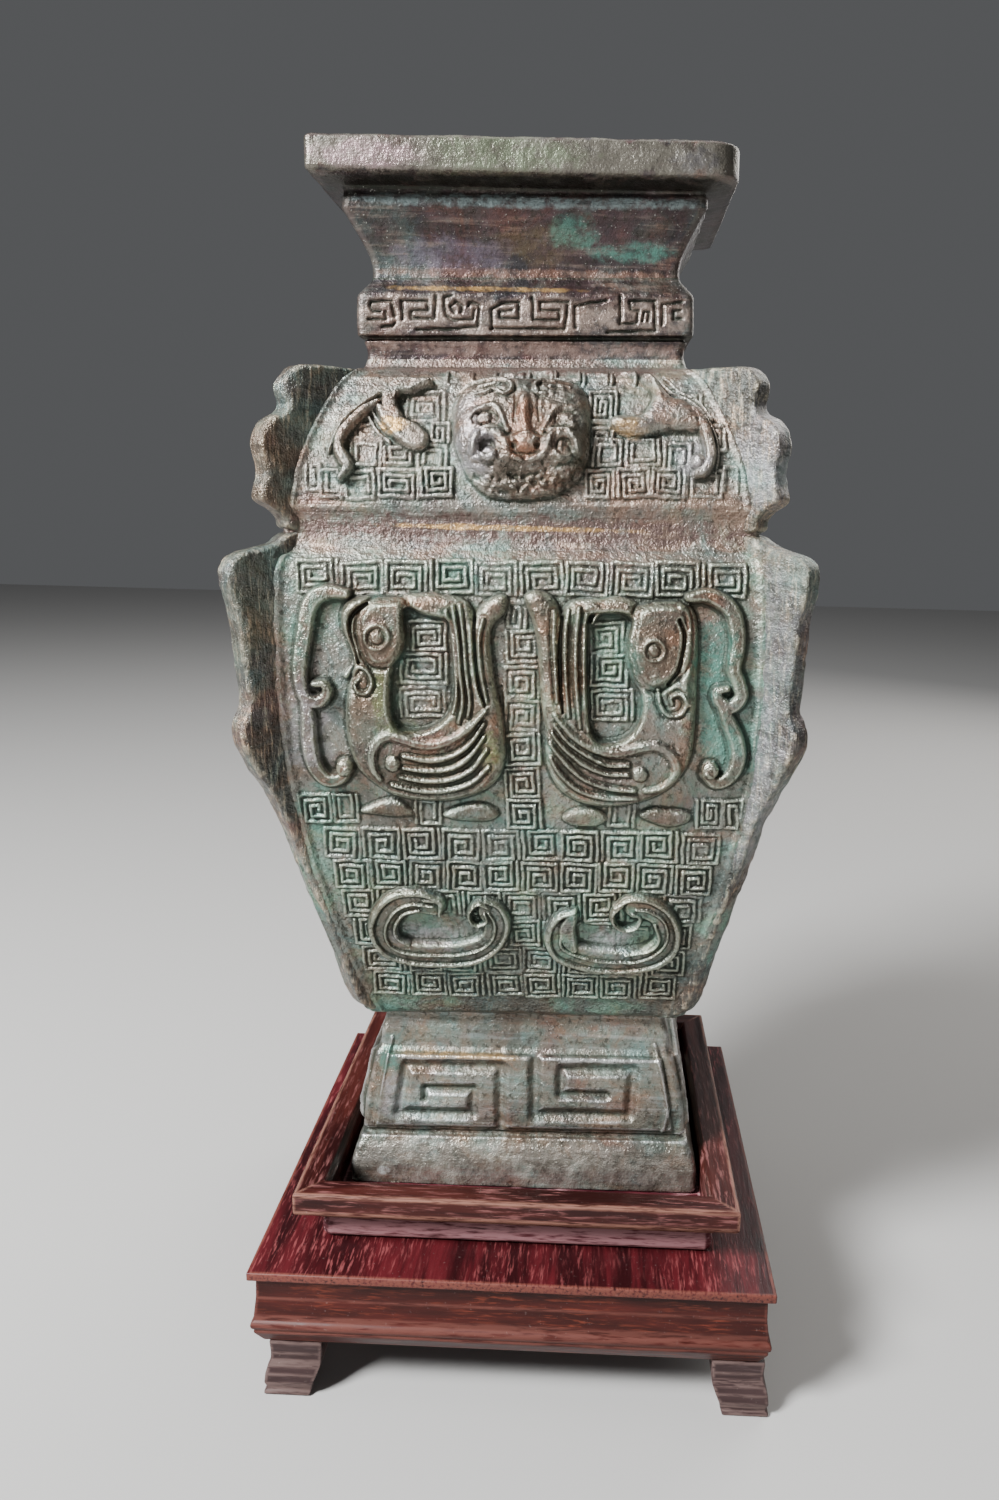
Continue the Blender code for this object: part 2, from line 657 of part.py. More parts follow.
RIGHT_DRAGON = [
    [(24, 239, 2.4), (30, 240.5, 3.4), (37, 241.5, 3.6), (43, 242.2, 2.8)],
    [(33, 253, 1.4), (36.4, 249.6, 1.9), (36.6, 246, 1.7)],
    [(39.5, 252.6, 1.5), (45, 248, 2.3), (50, 242.5, 2.6), (53, 236.4, 2.4), (53.4, 230.6, 2.2),
     (50.6, 227.4, 2.0), (47.6, 229.6, 2.0)],
]
MASK_CENTRE = (0.6, 237.0)
MASK_HALF_SIZE = (17.6, 14.4)
MASK_BROWS = [
    [(-2.6, 246, 1.2), (-7.5, 247.2, 1.7), (-13.2, 244.8, 1.4)],
    [(4, 246, 1.2), (9, 247.2, 1.7), (14.6, 244.8, 1.4)],
]
MASK_EYES = [(-8.4, 240), (10.4, 240)]
MASK_EYE_HALF_SIZE = (2.8, 2.4)
MASK_SNOUT = (0.9, 233.5)
MASK_SNOUT_HALF_SIZE = (8.0, 6.4)

FOOT_SPIRALS = [
    [(-6.5, 18.8, 1.9), (-6.5, 39, 1.9), (-37, 39, 1.9), (-37, 24, 1.9), (-15, 24, 1.9),
     (-15, 31.3, 1.9), (-29.5, 31.3, 1.9)],
    [(5, 43.4, 1.9), (5, 24, 1.9), (37, 24, 1.9), (37, 39, 1.9), (12.8, 39, 1.9),
     (12.8, 31.5, 1.9), (27.5, 31.5, 1.9)],
]


def mirrored(stroke):
    return [(-x, z, w) for x, z, w in stroke]


def drawing_unit():
    return BODY_HEIGHT / (BODY_TO - BODY_FROM)


def drawing_level(z):
    """The vase height of a drawing height; the foot's and the shoulder's parts keep to theirs."""
    if z < BODY_FROM:
        return z * FOOT_HEIGHT / BODY_FROM
    return BODY_BOTTOM + (z - BODY_FROM) * drawing_unit()


def to_face(face, x, z, lift):
    """A point of the drawing on one face of the vase, raised by a lift from the wall's surface."""
    height = drawing_level(z)
    half_width = half_width_at(height)
    squeeze = 1.0
    out = half_width - WIDTH_OVER_DEPTH
    if FACES[face] % 2:
        squeeze = 1.0 - WIDTH_OVER_DEPTH / BODY_BOTTOM_HALF_WIDTH
        out = half_width
    turn = Matrix.Rotation(math.radians(90 * FACES[face]), 3, "Z")
    return turn @ Vector((x * drawing_unit() * squeeze, -(out + lift), height))


def add_ridge(name, stroke, face, height, home):
    """A raised band of varying width along a stroke, following the wall and sunk a little into it."""
    sink = -0.35 * WALL
    if max(w for _, _, w in stroke) > WIDE:
        slope = 0.55 * height
        across = [(-1, sink), (-0.86, slope), (-0.5, height), (0.5, height), (0.86, slope), (1, sink)]
    else:
        across = [(-1, sink), (-0.55, height), (0.55, height), (1, sink)]
    rings = []
    for i, (x, z, half) in enumerate(stroke):
        before = Vector(stroke[max(i - 1, 0)][:2])
        here = Vector((x, z))
        after = Vector(stroke[min(i + 1, len(stroke) - 1)][:2])
        arriving = (here - before).normalized() if i else (after - here).normalized()
        leaving = (after - here).normalized() if i < len(stroke) - 1 else arriving
        along = (arriving + leaving).normalized()
        side = Vector((-along.y, along.x)) / max(along.dot(arriving), 0.5)
        rings.append([to_face(face, *(here + side * half * a), lift) for a, lift in across])
    bm = bmesh.new()
    skin(bm, rings)
    return helper(add_object(name, bm, home))


def add_boss(name, centre, half_size, face, height, home, rings=3, around=10):
    """A rounded lump: half a spheroid laid on the wall."""
    x, z = centre
    bm = bmesh.new()
    bmesh.ops.create_uvsphere(bm, u_segments=around, v_segments=2 * rings, radius=1.0)
    unit = drawing_unit()
    middle = to_face(face, x, z, 0.0)
    turn = Matrix.Rotation(math.radians(90 * FACES[face]), 4, "Z")
    stand = Matrix.Rotation(math.radians(90), 4, "X")
    size = Matrix.Diagonal((half_size[0] * unit, height, half_size[1] * unit, 1.0))
    bm.transform(Matrix.Translation(middle) @ turn @ size @ stand)
    return helper(add_object(name, bm, home))


def add_bird(name, face, turned, home):
    """One bird, its crest and plume trailing: every stroke on the front, the main ones elsewhere."""
    strokes = [BIRD_BODY, BIRD_PLUME]
    heights = [RELIEF_HEIGHT] * 2
    if face in ("front", "back"):
        strokes += [BIRD_CREST, BIRD_LEG]
        heights += [RELIEF_HEIGHT] * 2
    if face == "front":
        strokes += [BIRD_CREST_HOOK, BIRD_WING, *BIRD_FEATHERS, *BIRD_CLAWS]
        heights += [RELIEF_HEIGHT, 1.4 * RELIEF_HEIGHT]
        heights += [1.3 * RELIEF_HEIGHT] * 2 + [0.7 * RELIEF_HEIGHT] * 2
    for i, (stroke, height) in enumerate(zip(strokes, heights)):
        add_ridge(f"{name}_{i}", mirrored(stroke) if turned else stroke, face, height, home)
    if face == "front":
        for i, (x, z, radius) in enumerate(BIRD_BOSSES):
            centre = (-x if turned else x, z)
            add_boss(f"{name}_boss_{i}", centre, (radius, radius), face, 1.5 * RELIEF_HEIGHT, home, 2, 8)


def add_mask(name, face, home):
    """A beast's face in high relief, with brows and eyes on the front."""
    add_boss(name + "_face", MASK_CENTRE, MASK_HALF_SIZE, face, 0.8 * MASK_HEIGHT, home, 3, 14)
    add_boss(
        name + "_snout", MASK_SNOUT, MASK_SNOUT_HALF_SIZE, face, 1.15 * MASK_HEIGHT, home, 2, 10
    )
    if face == "front":
        for i, brow in enumerate(MASK_BROWS):
            add_ridge(f"{name}_brow_{i}", brow, face, 0.85 * MASK_HEIGHT, home)
        for i, eye in enumerate(MASK_EYES):
            lift = 0.95 * MASK_HEIGHT
            add_boss(f"{name}_eye_{i}", eye, MASK_EYE_HALF_SIZE, face, lift, home, 2, 8)


def add_relief(home):
    for face in FACES:
        add_bird(f"{face}_left_bird", face, True, home)
        add_bird(f"{face}_right_bird", face, False, home)
        if face in ("front", "back"):
            for i, stroke in enumerate(LEFT_DRAGON + RIGHT_DRAGON):
                add_ridge(f"{face}_dragon_{i}", stroke, face, RELIEF_HEIGHT, home)
        add_ridge(f"{face}_volute_left", VOLUTE_NEAR_LEFT, face, RELIEF_HEIGHT, home)
        add_ridge(f"{face}_volute_right", VOLUTE_NEAR_RIGHT, face, RELIEF_HEIGHT, home)
        add_mask(f"{face}_mask", face, home)
        for i, stroke in enumerate(FOOT_SPIRALS):
            add_ridge(f"{face}_foot_spiral_{i}", stroke, face, FOOT_RELIEF_HEIGHT, home)


def make_vase(home, joined, cutters, finish):
    vase = outside_form("vase", home, finish)
    on_body = (BODY_FLANGE, BODY_BOTTOM, BODY_HEIGHT, BODY_FLANGE_REACH)
    on_shoulder = (SHOULDER_FLANGE, SHOULDER_BOTTOM, SHOULDER_HEIGHT, SHOULDER_FLANGE_REACH)
    for depth, y in (("front", -1), ("back", 1)):
        for width, x in (("left", -1), ("right", 1)):
            add_flange(f"body_flange_{depth}_{width}", *on_body, (x, y), joined)
            add_flange(f"shoulder_flange_{depth}_{width}", *on_shoulder, (x, y), joined)
    add_relief(joined)
    boolean(vase, "flanges_and_relief", "UNION", joined)
    boolean(vase, "vessel", "DIFFERENCE", inside_form(cutters))
    boolean(vase, "under_foot", "DIFFERENCE", foot_hollow(cutters))

    lean = bpy.data.objects.new("vase_place", None)
    home.objects.link(lean)
    lean.location = (STAND_X + VASE_SHIFT_X, VASE_SHIFT_Y, RECESS_FLOOR)
    lean.rotation_euler.y = -VASE_LEAN
    for made in [vase, *joined.objects, *cutters.objects]:
        made.parent = lean
    boolean(vase, "level_foot", "DIFFERENCE", foot_trim(cutters))
    return vase


def main():
    clear_scene()
    parts = collection("bronze_vase_on_stand")
    joined = collection("vase_relief")
    cutters = collection("cutters")
    bronze = material("patinated_bronze", (0.150, 0.135, 0.105), 0.55, 0.85)
    lacquer = material("red_lacquered_wood", (0.130, 0.024, 0.018), 0.35, 0.0)
    make_stand(parts, lacquer)
    make_vase(parts, joined, cutters, bronze)


main()
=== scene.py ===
"""Visual model of a square bronze vase with relief ornament on its two-step wooden stand."""

import math

import bpy
import numpy as np
from mathutils import Matrix, Vector


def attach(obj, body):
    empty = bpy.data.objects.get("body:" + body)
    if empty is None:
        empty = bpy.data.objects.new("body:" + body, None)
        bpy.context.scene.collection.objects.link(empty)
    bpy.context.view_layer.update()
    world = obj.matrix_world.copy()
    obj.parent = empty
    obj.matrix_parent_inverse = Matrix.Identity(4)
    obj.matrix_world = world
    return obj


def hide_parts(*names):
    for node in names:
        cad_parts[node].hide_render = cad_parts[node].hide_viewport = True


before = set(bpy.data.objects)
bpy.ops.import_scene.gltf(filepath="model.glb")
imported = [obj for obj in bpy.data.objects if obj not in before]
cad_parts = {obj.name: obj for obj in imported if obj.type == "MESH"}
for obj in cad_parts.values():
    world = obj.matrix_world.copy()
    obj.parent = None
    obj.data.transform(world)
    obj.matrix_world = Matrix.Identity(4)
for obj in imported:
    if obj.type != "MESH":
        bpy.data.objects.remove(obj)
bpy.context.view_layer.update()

# Camera, floor and light. The camera stands where the photograph's did, a little left of the vase's
# middle line and above its shoulder. Soft daylight comes from the front left, the right is in shade.

CAMERA_PLACE = (0.0221006, -0.3714514, 0.2692402)
CAMERA_PAN = -0.02764
CAMERA_TILT = 0.21257
CAMERA_ROLL = 0.02494
PHOTO_HEIGHT = 1500
FOCAL_PIXELS = 1127
PRINCIPAL_OFFSET = 63
SENSOR_WIDTH = 36.0

ahead = Vector((
    math.sin(CAMERA_PAN) * math.cos(CAMERA_TILT),
    math.cos(CAMERA_PAN) * math.cos(CAMERA_TILT),
    -math.sin(CAMERA_TILT),
))
level_right = Vector((math.cos(CAMERA_PAN), -math.sin(CAMERA_PAN), 0.0))
level_up = level_right.cross(ahead)
right = math.cos(CAMERA_ROLL) * level_right + math.sin(CAMERA_ROLL) * level_up
up = -math.sin(CAMERA_ROLL) * level_right + math.cos(CAMERA_ROLL) * level_up
bpy.ops.object.select_all(action="DESELECT")
bpy.ops.object.camera_add()
camera = bpy.context.object
camera.name = "photo_camera"
turn = Matrix((right, up, -ahead)).transposed().to_4x4()
camera.matrix_world = Matrix.Translation(CAMERA_PLACE) @ turn
camera.data.sensor_width = SENSOR_WIDTH
camera.data.lens = FOCAL_PIXELS * SENSOR_WIDTH / PHOTO_HEIGHT
camera.data.shift_x = -PRINCIPAL_OFFSET / PHOTO_HEIGHT
camera.data.clip_start = 0.01
camera.data.clip_end = 20.0
bpy.context.scene.camera = camera


def soft_light(name, place, target, size, power, colour):
    """A square softbox that faces a point."""
    bpy.ops.object.light_add(type="AREA", location=place)
    made = bpy.context.object
    made.name = name
    made.data.size = size
    made.data.energy = power
    made.data.color = colour
    made.rotation_euler = (Vector(target) - Vector(place)).to_track_quat("-Z", "Y").to_euler()


soft_light("window_light", (-0.82, -0.66, 0.98), (0.0, 0.0, 0.22), 0.36, 66.0, (0.97, 0.99, 1.0))
soft_light("front_fill", (0.25, -1.4, 0.22), (0.0, 0.0, 0.15), 0.9, 3.6, (1.0, 0.98, 0.96))
soft_light("top_light", (0.1, 0.1, 1.3), (0.0, 0.0, 0.2), 0.8, 5.0, (1.0, 0.98, 0.95))
soft_light("back_light", (0.7, 0.9, 0.8), (0.0, 0.0, 0.2), 0.8, 9.0, (1.0, 0.98, 0.95))

world = bpy.data.worlds.new("studio")
world.use_nodes = True
backdrop = world.node_tree.nodes["Background"]
backdrop.inputs["Color"].default_value = (0.80, 0.82, 0.85, 1.0)
backdrop.inputs["Strength"].default_value = 0.12
bpy.context.scene.world = world

bpy.ops.mesh.primitive_plane_add(size=6.0)
floor = bpy.context.object
floor.name = "floor"
floor_paint = bpy.data.materials.new("pale_floor")
floor_paint.use_nodes = True
floor_shader = floor_paint.node_tree.nodes["Principled BSDF"]
floor_shader.inputs["Base Color"].default_value = (0.42, 0.41, 0.40, 1.0)
floor_shader.inputs["Roughness"].default_value = 0.75
floor.data.materials.append(floor_paint)

# Stand feet: four bracket feet of red lacquered hardwood, sawn with a knee at half height and
# flared at the ground, and glued under the apron's corners. They are dark, with rubbed arrises.

MM = 0.001
STAND_X = 2.4
FEET_SHIFT = 1.9
CORNERS = [("front_left", -1, -1), ("front_right", 1, -1), ("back_left", -1, 1), ("back_right", 1, 1)]
WORN_MARGIN = 0.8 * MM
ROOM_FOR_MARGIN = 2.2
SMOOTH_BELOW = math.radians(35)
LACQUER_DEPTH = 0.4 * MM


def add_node(tree, kind, **settings):
    """A shader node: names that start with a capital set its sockets, the others its options."""
    made = tree.nodes.new(kind)
    for key, value in settings.items():
        if key[0].isupper():
            made.inputs[key.replace("_", " ")].default_value = value
        else:
            setattr(made, key, value)
    return made


def join(tree, socket, value):
    """Links a socket to another, or sets it to a value."""
    if isinstance(value, bpy.types.NodeSocket):
        tree.links.new(value, socket)
    else:
        socket.default_value = value


def maths(tree, operation, a, b=0.0, clamp=False):
    """One maths node on two sockets or numbers; the three below are its commonest uses."""
    made = add_node(tree, "ShaderNodeMath", operation=operation, use_clamp=clamp)
    join(tree, made.inputs[0], a)
    join(tree, made.inputs[1], b)
    return made.outputs[0]


def times(tree, a, b, clamp=False):
    return maths(tree, "MULTIPLY", a, b, clamp)


def plus(tree, a, b):
    return maths(tree, "ADD", a, b)


def minus(tree, a, b, clamp=False):
    return maths(tree, "SUBTRACT", a, b, clamp)


def between(tree, value, low, high, to_low=0.0, to_high=1.0):
    """A soft step of a value from low to high."""
    made = add_node(
        tree, "ShaderNodeMapRange", interpolation_type="SMOOTHSTEP",
        From_Min=low, From_Max=high, To_Min=to_low, To_Max=to_high,
    )
    join(tree, made.inputs["Value"], value)
    return made.outputs["Result"]


def blend(tree, share, under, over, mode="MIX"):
    """Mixes two colours."""
    made = add_node(tree, "ShaderNodeMix", data_type="RGBA", blend_type=mode)
    join(tree, made.inputs["Factor"], share)
    for socket, value in ((made.inputs[6], under), (made.inputs[7], over)):
        join(tree, socket, (*value, 1.0) if isinstance(value, tuple) else value)
    return made.outputs[2]


def lay_tones(tree, colour, rows):
    """Lays tones over a colour, one by one. In each row: a name, the value that drives it, where it
    starts and where it is full, its strength, the tone. Gives the colour and each share by name."""
    shares = {}
    for name, value, low, high, strength, tone, *mode in rows:
        shares[name] = times(tree, between(tree, value, low, high), strength)
        colour = blend(tree, shares[name], colour, tone, *mode)
    return colour, shares


def noise(tree, place, scale, detail=3.0, roughness=0.55, distortion=0.0):
    """Noise from 0 to 1 over the given coordinates."""
    made = add_node(
        tree, "ShaderNodeTexNoise", Scale=scale, Detail=detail, Roughness=roughness,
        Distortion=distortion,
    )
    join(tree, made.inputs["Vector"], place)
    return made.outputs["Fac"]


def stretched(tree, place, scale):
    """Object coordinates stretched along the axes, for grain and runs."""
    made = add_node(tree, "ShaderNodeMapping", Scale=scale)
    join(tree, made.inputs["Vector"], place)
    return made.outputs["Vector"]


def new_group(name, inputs, outputs):
    """An empty shader group with its sockets; returns the tree, its inputs and its outputs."""
    tree = bpy.data.node_groups.new(name, "ShaderNodeTree")
    kinds = {"place": "NodeSocketVector", "colour": "NodeSocketColor"}
    for way, words in (("INPUT", inputs), ("OUTPUT", outputs)):
        for word in words:
            kind = kinds.get(word.split("_")[-1], "NodeSocketFloat")
            tree.interface.new_socket(word, in_out=way, socket_type=kind)
    return tree, tree.nodes.new("NodeGroupInput").outputs, tree.nodes.new("NodeGroupOutput").inputs


def lacquer_grain():
    """Wood grain under worn lacquer: streaks along Y or X, pores, dust and rubbed edges."""
    tree, given, gives = new_group(
        "lacquer_grain",
        ["place", "edge", "along_y", "base_colour", "deep_colour", "streak_colour", "worn_colour"],
        ["colour", "roughness", "height"],
    )
    turned = add_node(tree, "ShaderNodeMix", data_type="VECTOR")
    join(tree, turned.inputs["Factor"], given["along_y"])
    join(tree, turned.inputs[4], stretched(tree, given["place"], (1.0, 9.0, 9.0)))
    join(tree, turned.inputs[5], stretched(tree, given["place"], (9.0, 1.0, 9.0)))
    broad = noise(tree, turned.outputs[1], 16.0, 4.0, 0.6, 0.4)
    fine = noise(tree, turned.outputs[1], 115.0, 3.0, 0.65, 0.2)
    blotch = noise(tree, given["place"], 28.0, 3.0, 0.6)
    speck = noise(tree, given["place"], 900.0, 2.0, 0.7)
    colour = blend(tree, between(tree, broad, 0.38, 0.66), given["deep_colour"], given["base_colour"])
    in_blotches = times(tree, between(tree, blotch, 0.38, 0.62), 0.70)
    colour, shares = lay_tones(tree, colour, (
        ("streaks", fine, 0.50, 0.68, in_blotches, given["streak_colour"]),
        ("rubbed", fine, 0.30, 0.56, given["edge"], given["worn_colour"]),
        ("specks", speck, 0.66, 0.76, 0.09, (0.55, 0.45, 0.42)),
    ))
    rough = plus(tree, between(tree, broad, 0.3, 0.7, 0.30, 0.48), times(tree, shares["rubbed"], 0.25))
    join(tree, gives["colour"], colour)
    join(tree, gives["roughness"], rough)
    join(tree, gives["height"], plus(tree, fine, times(tree, broad, 0.6)))
    return tree


LACQUER_GRAIN = lacquer_grain()


def side_strips(tree, place):
    """1 on the strips at the left and right of a mitred frame, 0 on those at its front and back."""
    parts = add_node(tree, "ShaderNodeSeparateXYZ")
    join(tree, parts.inputs["Vector"], place)
    across = maths(tree, "ABSOLUTE", minus(tree, parts.outputs["X"], STAND_X * MM))
    return maths(tree, "GREATER_THAN", across, maths(tree, "ABSOLUTE", parts.outputs["Y"]))


def grouped_material(name, group_tree, attributes, values, bump, bump_depth):
    """A material painted by a shader group, which gets object coordinates, mesh attributes and the
    material's own values; gives the material, its shader, its group and the coordinates."""
    made = bpy.data.materials.new(name)
    made.use_nodes = True
    tree = made.node_tree
    shader = tree.nodes["Principled BSDF"]
    group = add_node(tree, "ShaderNodeGroup", node_tree=group_tree)
    place = add_node(tree, "ShaderNodeTexCoord").outputs["Object"]
    join(tree, group.inputs["place"], place)
    for word in attributes:
        read = add_node(tree, "ShaderNodeAttribute", attribute_name=word)
        join(tree, group.inputs[word], read.outputs["Fac"])
    for word, value in values.items():
        group.inputs[word].default_value = (*value, 1.0) if word.endswith("_colour") else value
    join(tree, shader.inputs["Base Color"], group.outputs["colour"])
    join(tree, shader.inputs["Roughness"], group.outputs["roughness"])
    relief = add_node(tree, "ShaderNodeBump", Strength=bump, Distance=bump_depth)
    join(tree, relief.inputs["Height"], group.outputs["height"])
    join(tree, shader.inputs["Normal"], relief.outputs["Normal"])
    return made, shader, group, place


def lacquered_wood(name, base, deep, streak, worn, coat, bump=0.25, along_y=0.0, strips=False):
    """Red lacquer on wood, with its own colours; rubbed edges come from the mesh's edge attribute."""
    values = {
        "base_colour": base, "deep_colour": deep, "streak_colour": streak, "worn_colour": worn,
        "along_y": along_y,
    }
    made, shader, group, place = grouped_material(
        name, LACQUER_GRAIN, ["edge"], values, bump, LACQUER_DEPTH,
    )
    if strips:
        join(made.node_tree, group.inputs["along_y"], side_strips(made.node_tree, place))
    shader.inputs["Coat Weight"].default_value = coat
    shader.inputs["Coat Roughness"].default_value = 0.30
    shader.inputs["Specular IOR Level"].default_value = 0.2
    return made


def add_modifier(made, kind, **settings):
    """Adds a modifier and applies it."""
    added = made.modifiers.new(kind.lower(), kind)
    for key, value in settings.items():
        setattr(added, key, value)
    bpy.ops.object.modifier_apply(modifier=added.name)


def mesh_values(items, key, size, kind=float):
    """One row of values for each vertex or edge of a mesh."""
    values = np.empty(len(items) * size, kind)
    items.foreach_get(key, values)
    return values.reshape(-1, size)


def mark_edges(mesh, reach):
    """Writes the edge attribute: how near a vertex is to a convex corner of the smoothed form."""
    normals = mesh_values(mesh.vertices, "normal", 3)
    points = mesh_values(mesh.vertices, "co", 3)
    ends = mesh_values(mesh.edges, "vertices", 2, np.int64)
    pull = np.zeros((len(points), 3))
    weight = np.zeros(len(points))
    for a, b in ((0, 1), (1, 0)):
        np.add.at(pull, ends[:, a], points[ends[:, b]] - points[ends[:, a]])
        np.add.at(weight, ends[:, a], 1.0)
    bulge = -(pull * normals).sum(axis=1) / np.maximum(weight, 1.0)
    layer = mesh.attributes.new("edge", "FLOAT", "POINT")
    layer.data.foreach_set("value", np.clip(bulge / reach, 0.0, 1.0))


def inset_wide_faces(made, margin):
    """Puts a narrow border inside each wide face, so that wear at its edges stays there."""
    bpy.ops.object.mode_set(mode="EDIT")
    bpy.ops.mesh.select_mode(type="FACE")
    bpy.ops.mesh.select_all(action="DESELECT")
    bpy.ops.object.mode_set(mode="OBJECT")
    mesh = made.data
    for face in mesh.polygons:
        corners = [mesh.vertices[i].co for i in face.vertices]
        around = sum((a - b).length for a, b in zip(corners, corners[1:] + corners[:1]))
        face.select = 2 * face.area / around > ROOM_FOR_MARGIN * margin
    bpy.ops.object.mode_set(mode="EDIT")
    bpy.ops.mesh.inset(thickness=margin, use_individual=True)
    bpy.ops.mesh.select_mode(type="VERT")
    bpy.ops.object.mode_set(mode="OBJECT")


def finish_wood(made, node, material, rounding, segments):
    """Rounds a wooden piece's arrises, marks them, and sets it in its CAD node's place."""
    add_modifier(made, "BEVEL", width=rounding, segments=segments, limit_method="ANGLE")
    inset_wide_faces(made, WORN_MARGIN)
    bpy.ops.object.shade_smooth_by_angle(angle=SMOOTH_BELOW)
    mark_edges(made.data, 0.35 * rounding)
    made.data.materials.append(material)
    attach(made, "root")
    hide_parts(node)


FOOT_SECTIONS = [
    (0, 77.2, 63.2), (1, 77.4, 63), (2, 76.5, 62.6), (4.2, 77.2, 62.2), (7, 76.9, 61), (9.6, 76.2, 60),
    (11.2, 75.5, 59.7), (13.5, 75.4, 59.6), (17.7, 75.7, 59.5),
]

foot_lacquer = lacquered_wood(
    "foot_lacquer", (0.038, 0.020, 0.020), (0.026, 0.013, 0.013), (0.064, 0.040, 0.040),
    (0.100, 0.064, 0.058), 0.05, bump=0.30,
)


def make_stand_foot(name, side_x, side_y):
    """Starts from a plane on the ground and extrudes it up, level by level."""
    bpy.ops.object.select_all(action="DESELECT")
    _, outer, inner = FOOT_SECTIONS[0]
    middle = (outer + inner) / 2
    bpy.ops.mesh.primitive_plane_add(size=(outer - inner) * MM)
    made = bpy.context.object
    made.name = name
    bpy.ops.object.mode_set(mode="EDIT")
    centre = Vector((0.0, 0.0, 0.0))
    for (z0, outer0, inner0), (z1, outer1, inner1) in zip(FOOT_SECTIONS, FOOT_SECTIONS[1:]):
        shift = ((outer1 + inner1) - (outer0 + inner0)) / 2 * MM
        step = Vector((side_x * shift, side_y * shift, (z1 - z0) * MM))
        bpy.ops.mesh.extrude_region_move(TRANSFORM_OT_translate={"value": step})
        centre += step
        ratio = (outer1 - inner1) / (outer0 - inner0)
        bpy.ops.transform.resize(value=(ratio, ratio, 1.0), center_override=centre)
    bpy.ops.mesh.select_all(action="SELECT")
    bpy.ops.mesh.normals_make_consistent(inside=False)
    bpy.ops.object.mode_set(mode="OBJECT")
    made.location = ((STAND_X + FEET_SHIFT + side_x * middle) * MM, side_y * middle * MM, 0.0)
    bpy.ops.object.transform_apply(location=True, rotation=True, scale=True)
    finish_wood(made, name.replace("_wood", ""), foot_lacquer, 0.5 * MM, 2)


for corner, side_x, side_y in CORNERS:
    make_stand_foot(f"foot_{corner}_wood", side_x, side_y)

# Stand apron: a frame of four moulded strips mitred at the corners, of the same red lacquered wood.
# A round bead runs along it below the middle, with a chamfer under it and a plain fascia above.

APRON_BOTTOM = 18.0
BOARD_BOTTOM = 40.8


def mitred_moulding(name, profile, centre_x):
    """A square frame: a four-sided ring is extruded and resized along its profile, then closed."""
    bpy.ops.object.select_all(action="DESELECT")
    w0, z0 = profile[0]
    corner = math.sqrt(2)
    bpy.ops.mesh.primitive_circle_add(
        vertices=4, radius=w0 * corner * MM, location=(0.0, 0.0, z0 * MM),
        rotation=(0.0, 0.0, math.radians(45)),
    )
    made = bpy.context.object
    made.name = name
    bpy.ops.object.transform_apply(location=True, rotation=True, scale=True)
    bpy.ops.object.mode_set(mode="EDIT")
    bpy.ops.mesh.select_all(action="SELECT")
    for (w0, z0), (w1, z1) in zip(profile, profile[1:]):
        bpy.ops.mesh.extrude_region_move(TRANSFORM_OT_translate={"value": (0.0, 0.0, (z1 - z0) * MM)})
        bpy.ops.transform.resize(value=(w1 / w0, w1 / w0, 1.0), center_override=(0.0, 0.0, z1 * MM))
    bpy.ops.mesh.select_all(action="DESELECT")
    bpy.ops.mesh.select_non_manifold(extend=False, use_wire=True, use_boundary=True)
    bpy.ops.mesh.bridge_edge_loops()
    bpy.ops.mesh.select_all(action="SELECT")
    bpy.ops.mesh.normals_make_consistent(inside=False)
    bpy.ops.object.mode_set(mode="OBJECT")
    made.location = (centre_x * MM, 0.0, 0.0)
    bpy.ops.object.transform_apply(location=True, rotation=True, scale=True)
    return made


def arc(centre_w, centre_z, radius_w, radius_z, start, end, steps):
    """Profile points on an arc, angles in degrees from the outward direction."""
    points = []
    for i in range(steps + 1):
        angle = math.radians(start + (end - start) * i / steps)
        points.append((centre_w + radius_w * math.cos(angle), centre_z + radius_z * math.sin(angle)))
    return points


apron_lacquer = lacquered_wood(
    "apron_lacquer", (0.052, 0.007, 0.005), (0.022, 0.003, 0.002), (0.170, 0.036, 0.018),
    (0.092, 0.028, 0.021), 0.05, strips=True,
)
apron = mitred_moulding(
    "stand_apron_wood",
    [
        (68.0, APRON_BOTTOM), (75.4, APRON_BOTTOM), (77.9, APRON_BOTTOM + 4.4),
        *arc(76.6, APRON_BOTTOM + 6.9, 2.0, 1.9, -62, 62, 6),
        (77.6, APRON_BOTTOM + 10.1), (76.95, APRON_BOTTOM + 15.8), (76.8, APRON_BOTTOM + 22.5),
        (68.0, APRON_BOTTOM + 22.5),
    ],
    STAND_X,
)
finish_wood(apron, "stand_apron", apron_lacquer, 0.4 * MM, 2)

# Stand board: one thin square board of the same wood that lies on the apron. Its top is rubbed in
# streaks that run from front to back, and its arrises are worn pale.

board_lacquer = lacquered_wood(
    "board_lacquer", (0.070, 0.007, 0.010), (0.018, 0.003, 0.004), (0.260, 0.066, 0.068),
    (0.125, 0.036, 0.026), 0.10, along_y=1.0,
)


def square_block(name, centre_x, width, bottom, height):
    """A block made from a cube, sized and placed in millimetres."""
    bpy.ops.object.select_all(action="DESELECT")
    middle = (centre_x * MM, 0.0, (bottom + height / 2) * MM)
    bpy.ops.mesh.primitive_cube_add(size=1.0, location=middle)
    made = bpy.context.object
    made.name = name
    made.scale = (width * MM, width * MM, height * MM)
    bpy.ops.object.transform_apply(location=True, rotation=True, scale=True)
    return made


board = square_block("stand_board_wood", STAND_X, 158, BOARD_BOTTOM, 2.7)
finish_wood(board, "stand_board", board_lacquer, 0.5 * MM, 3)
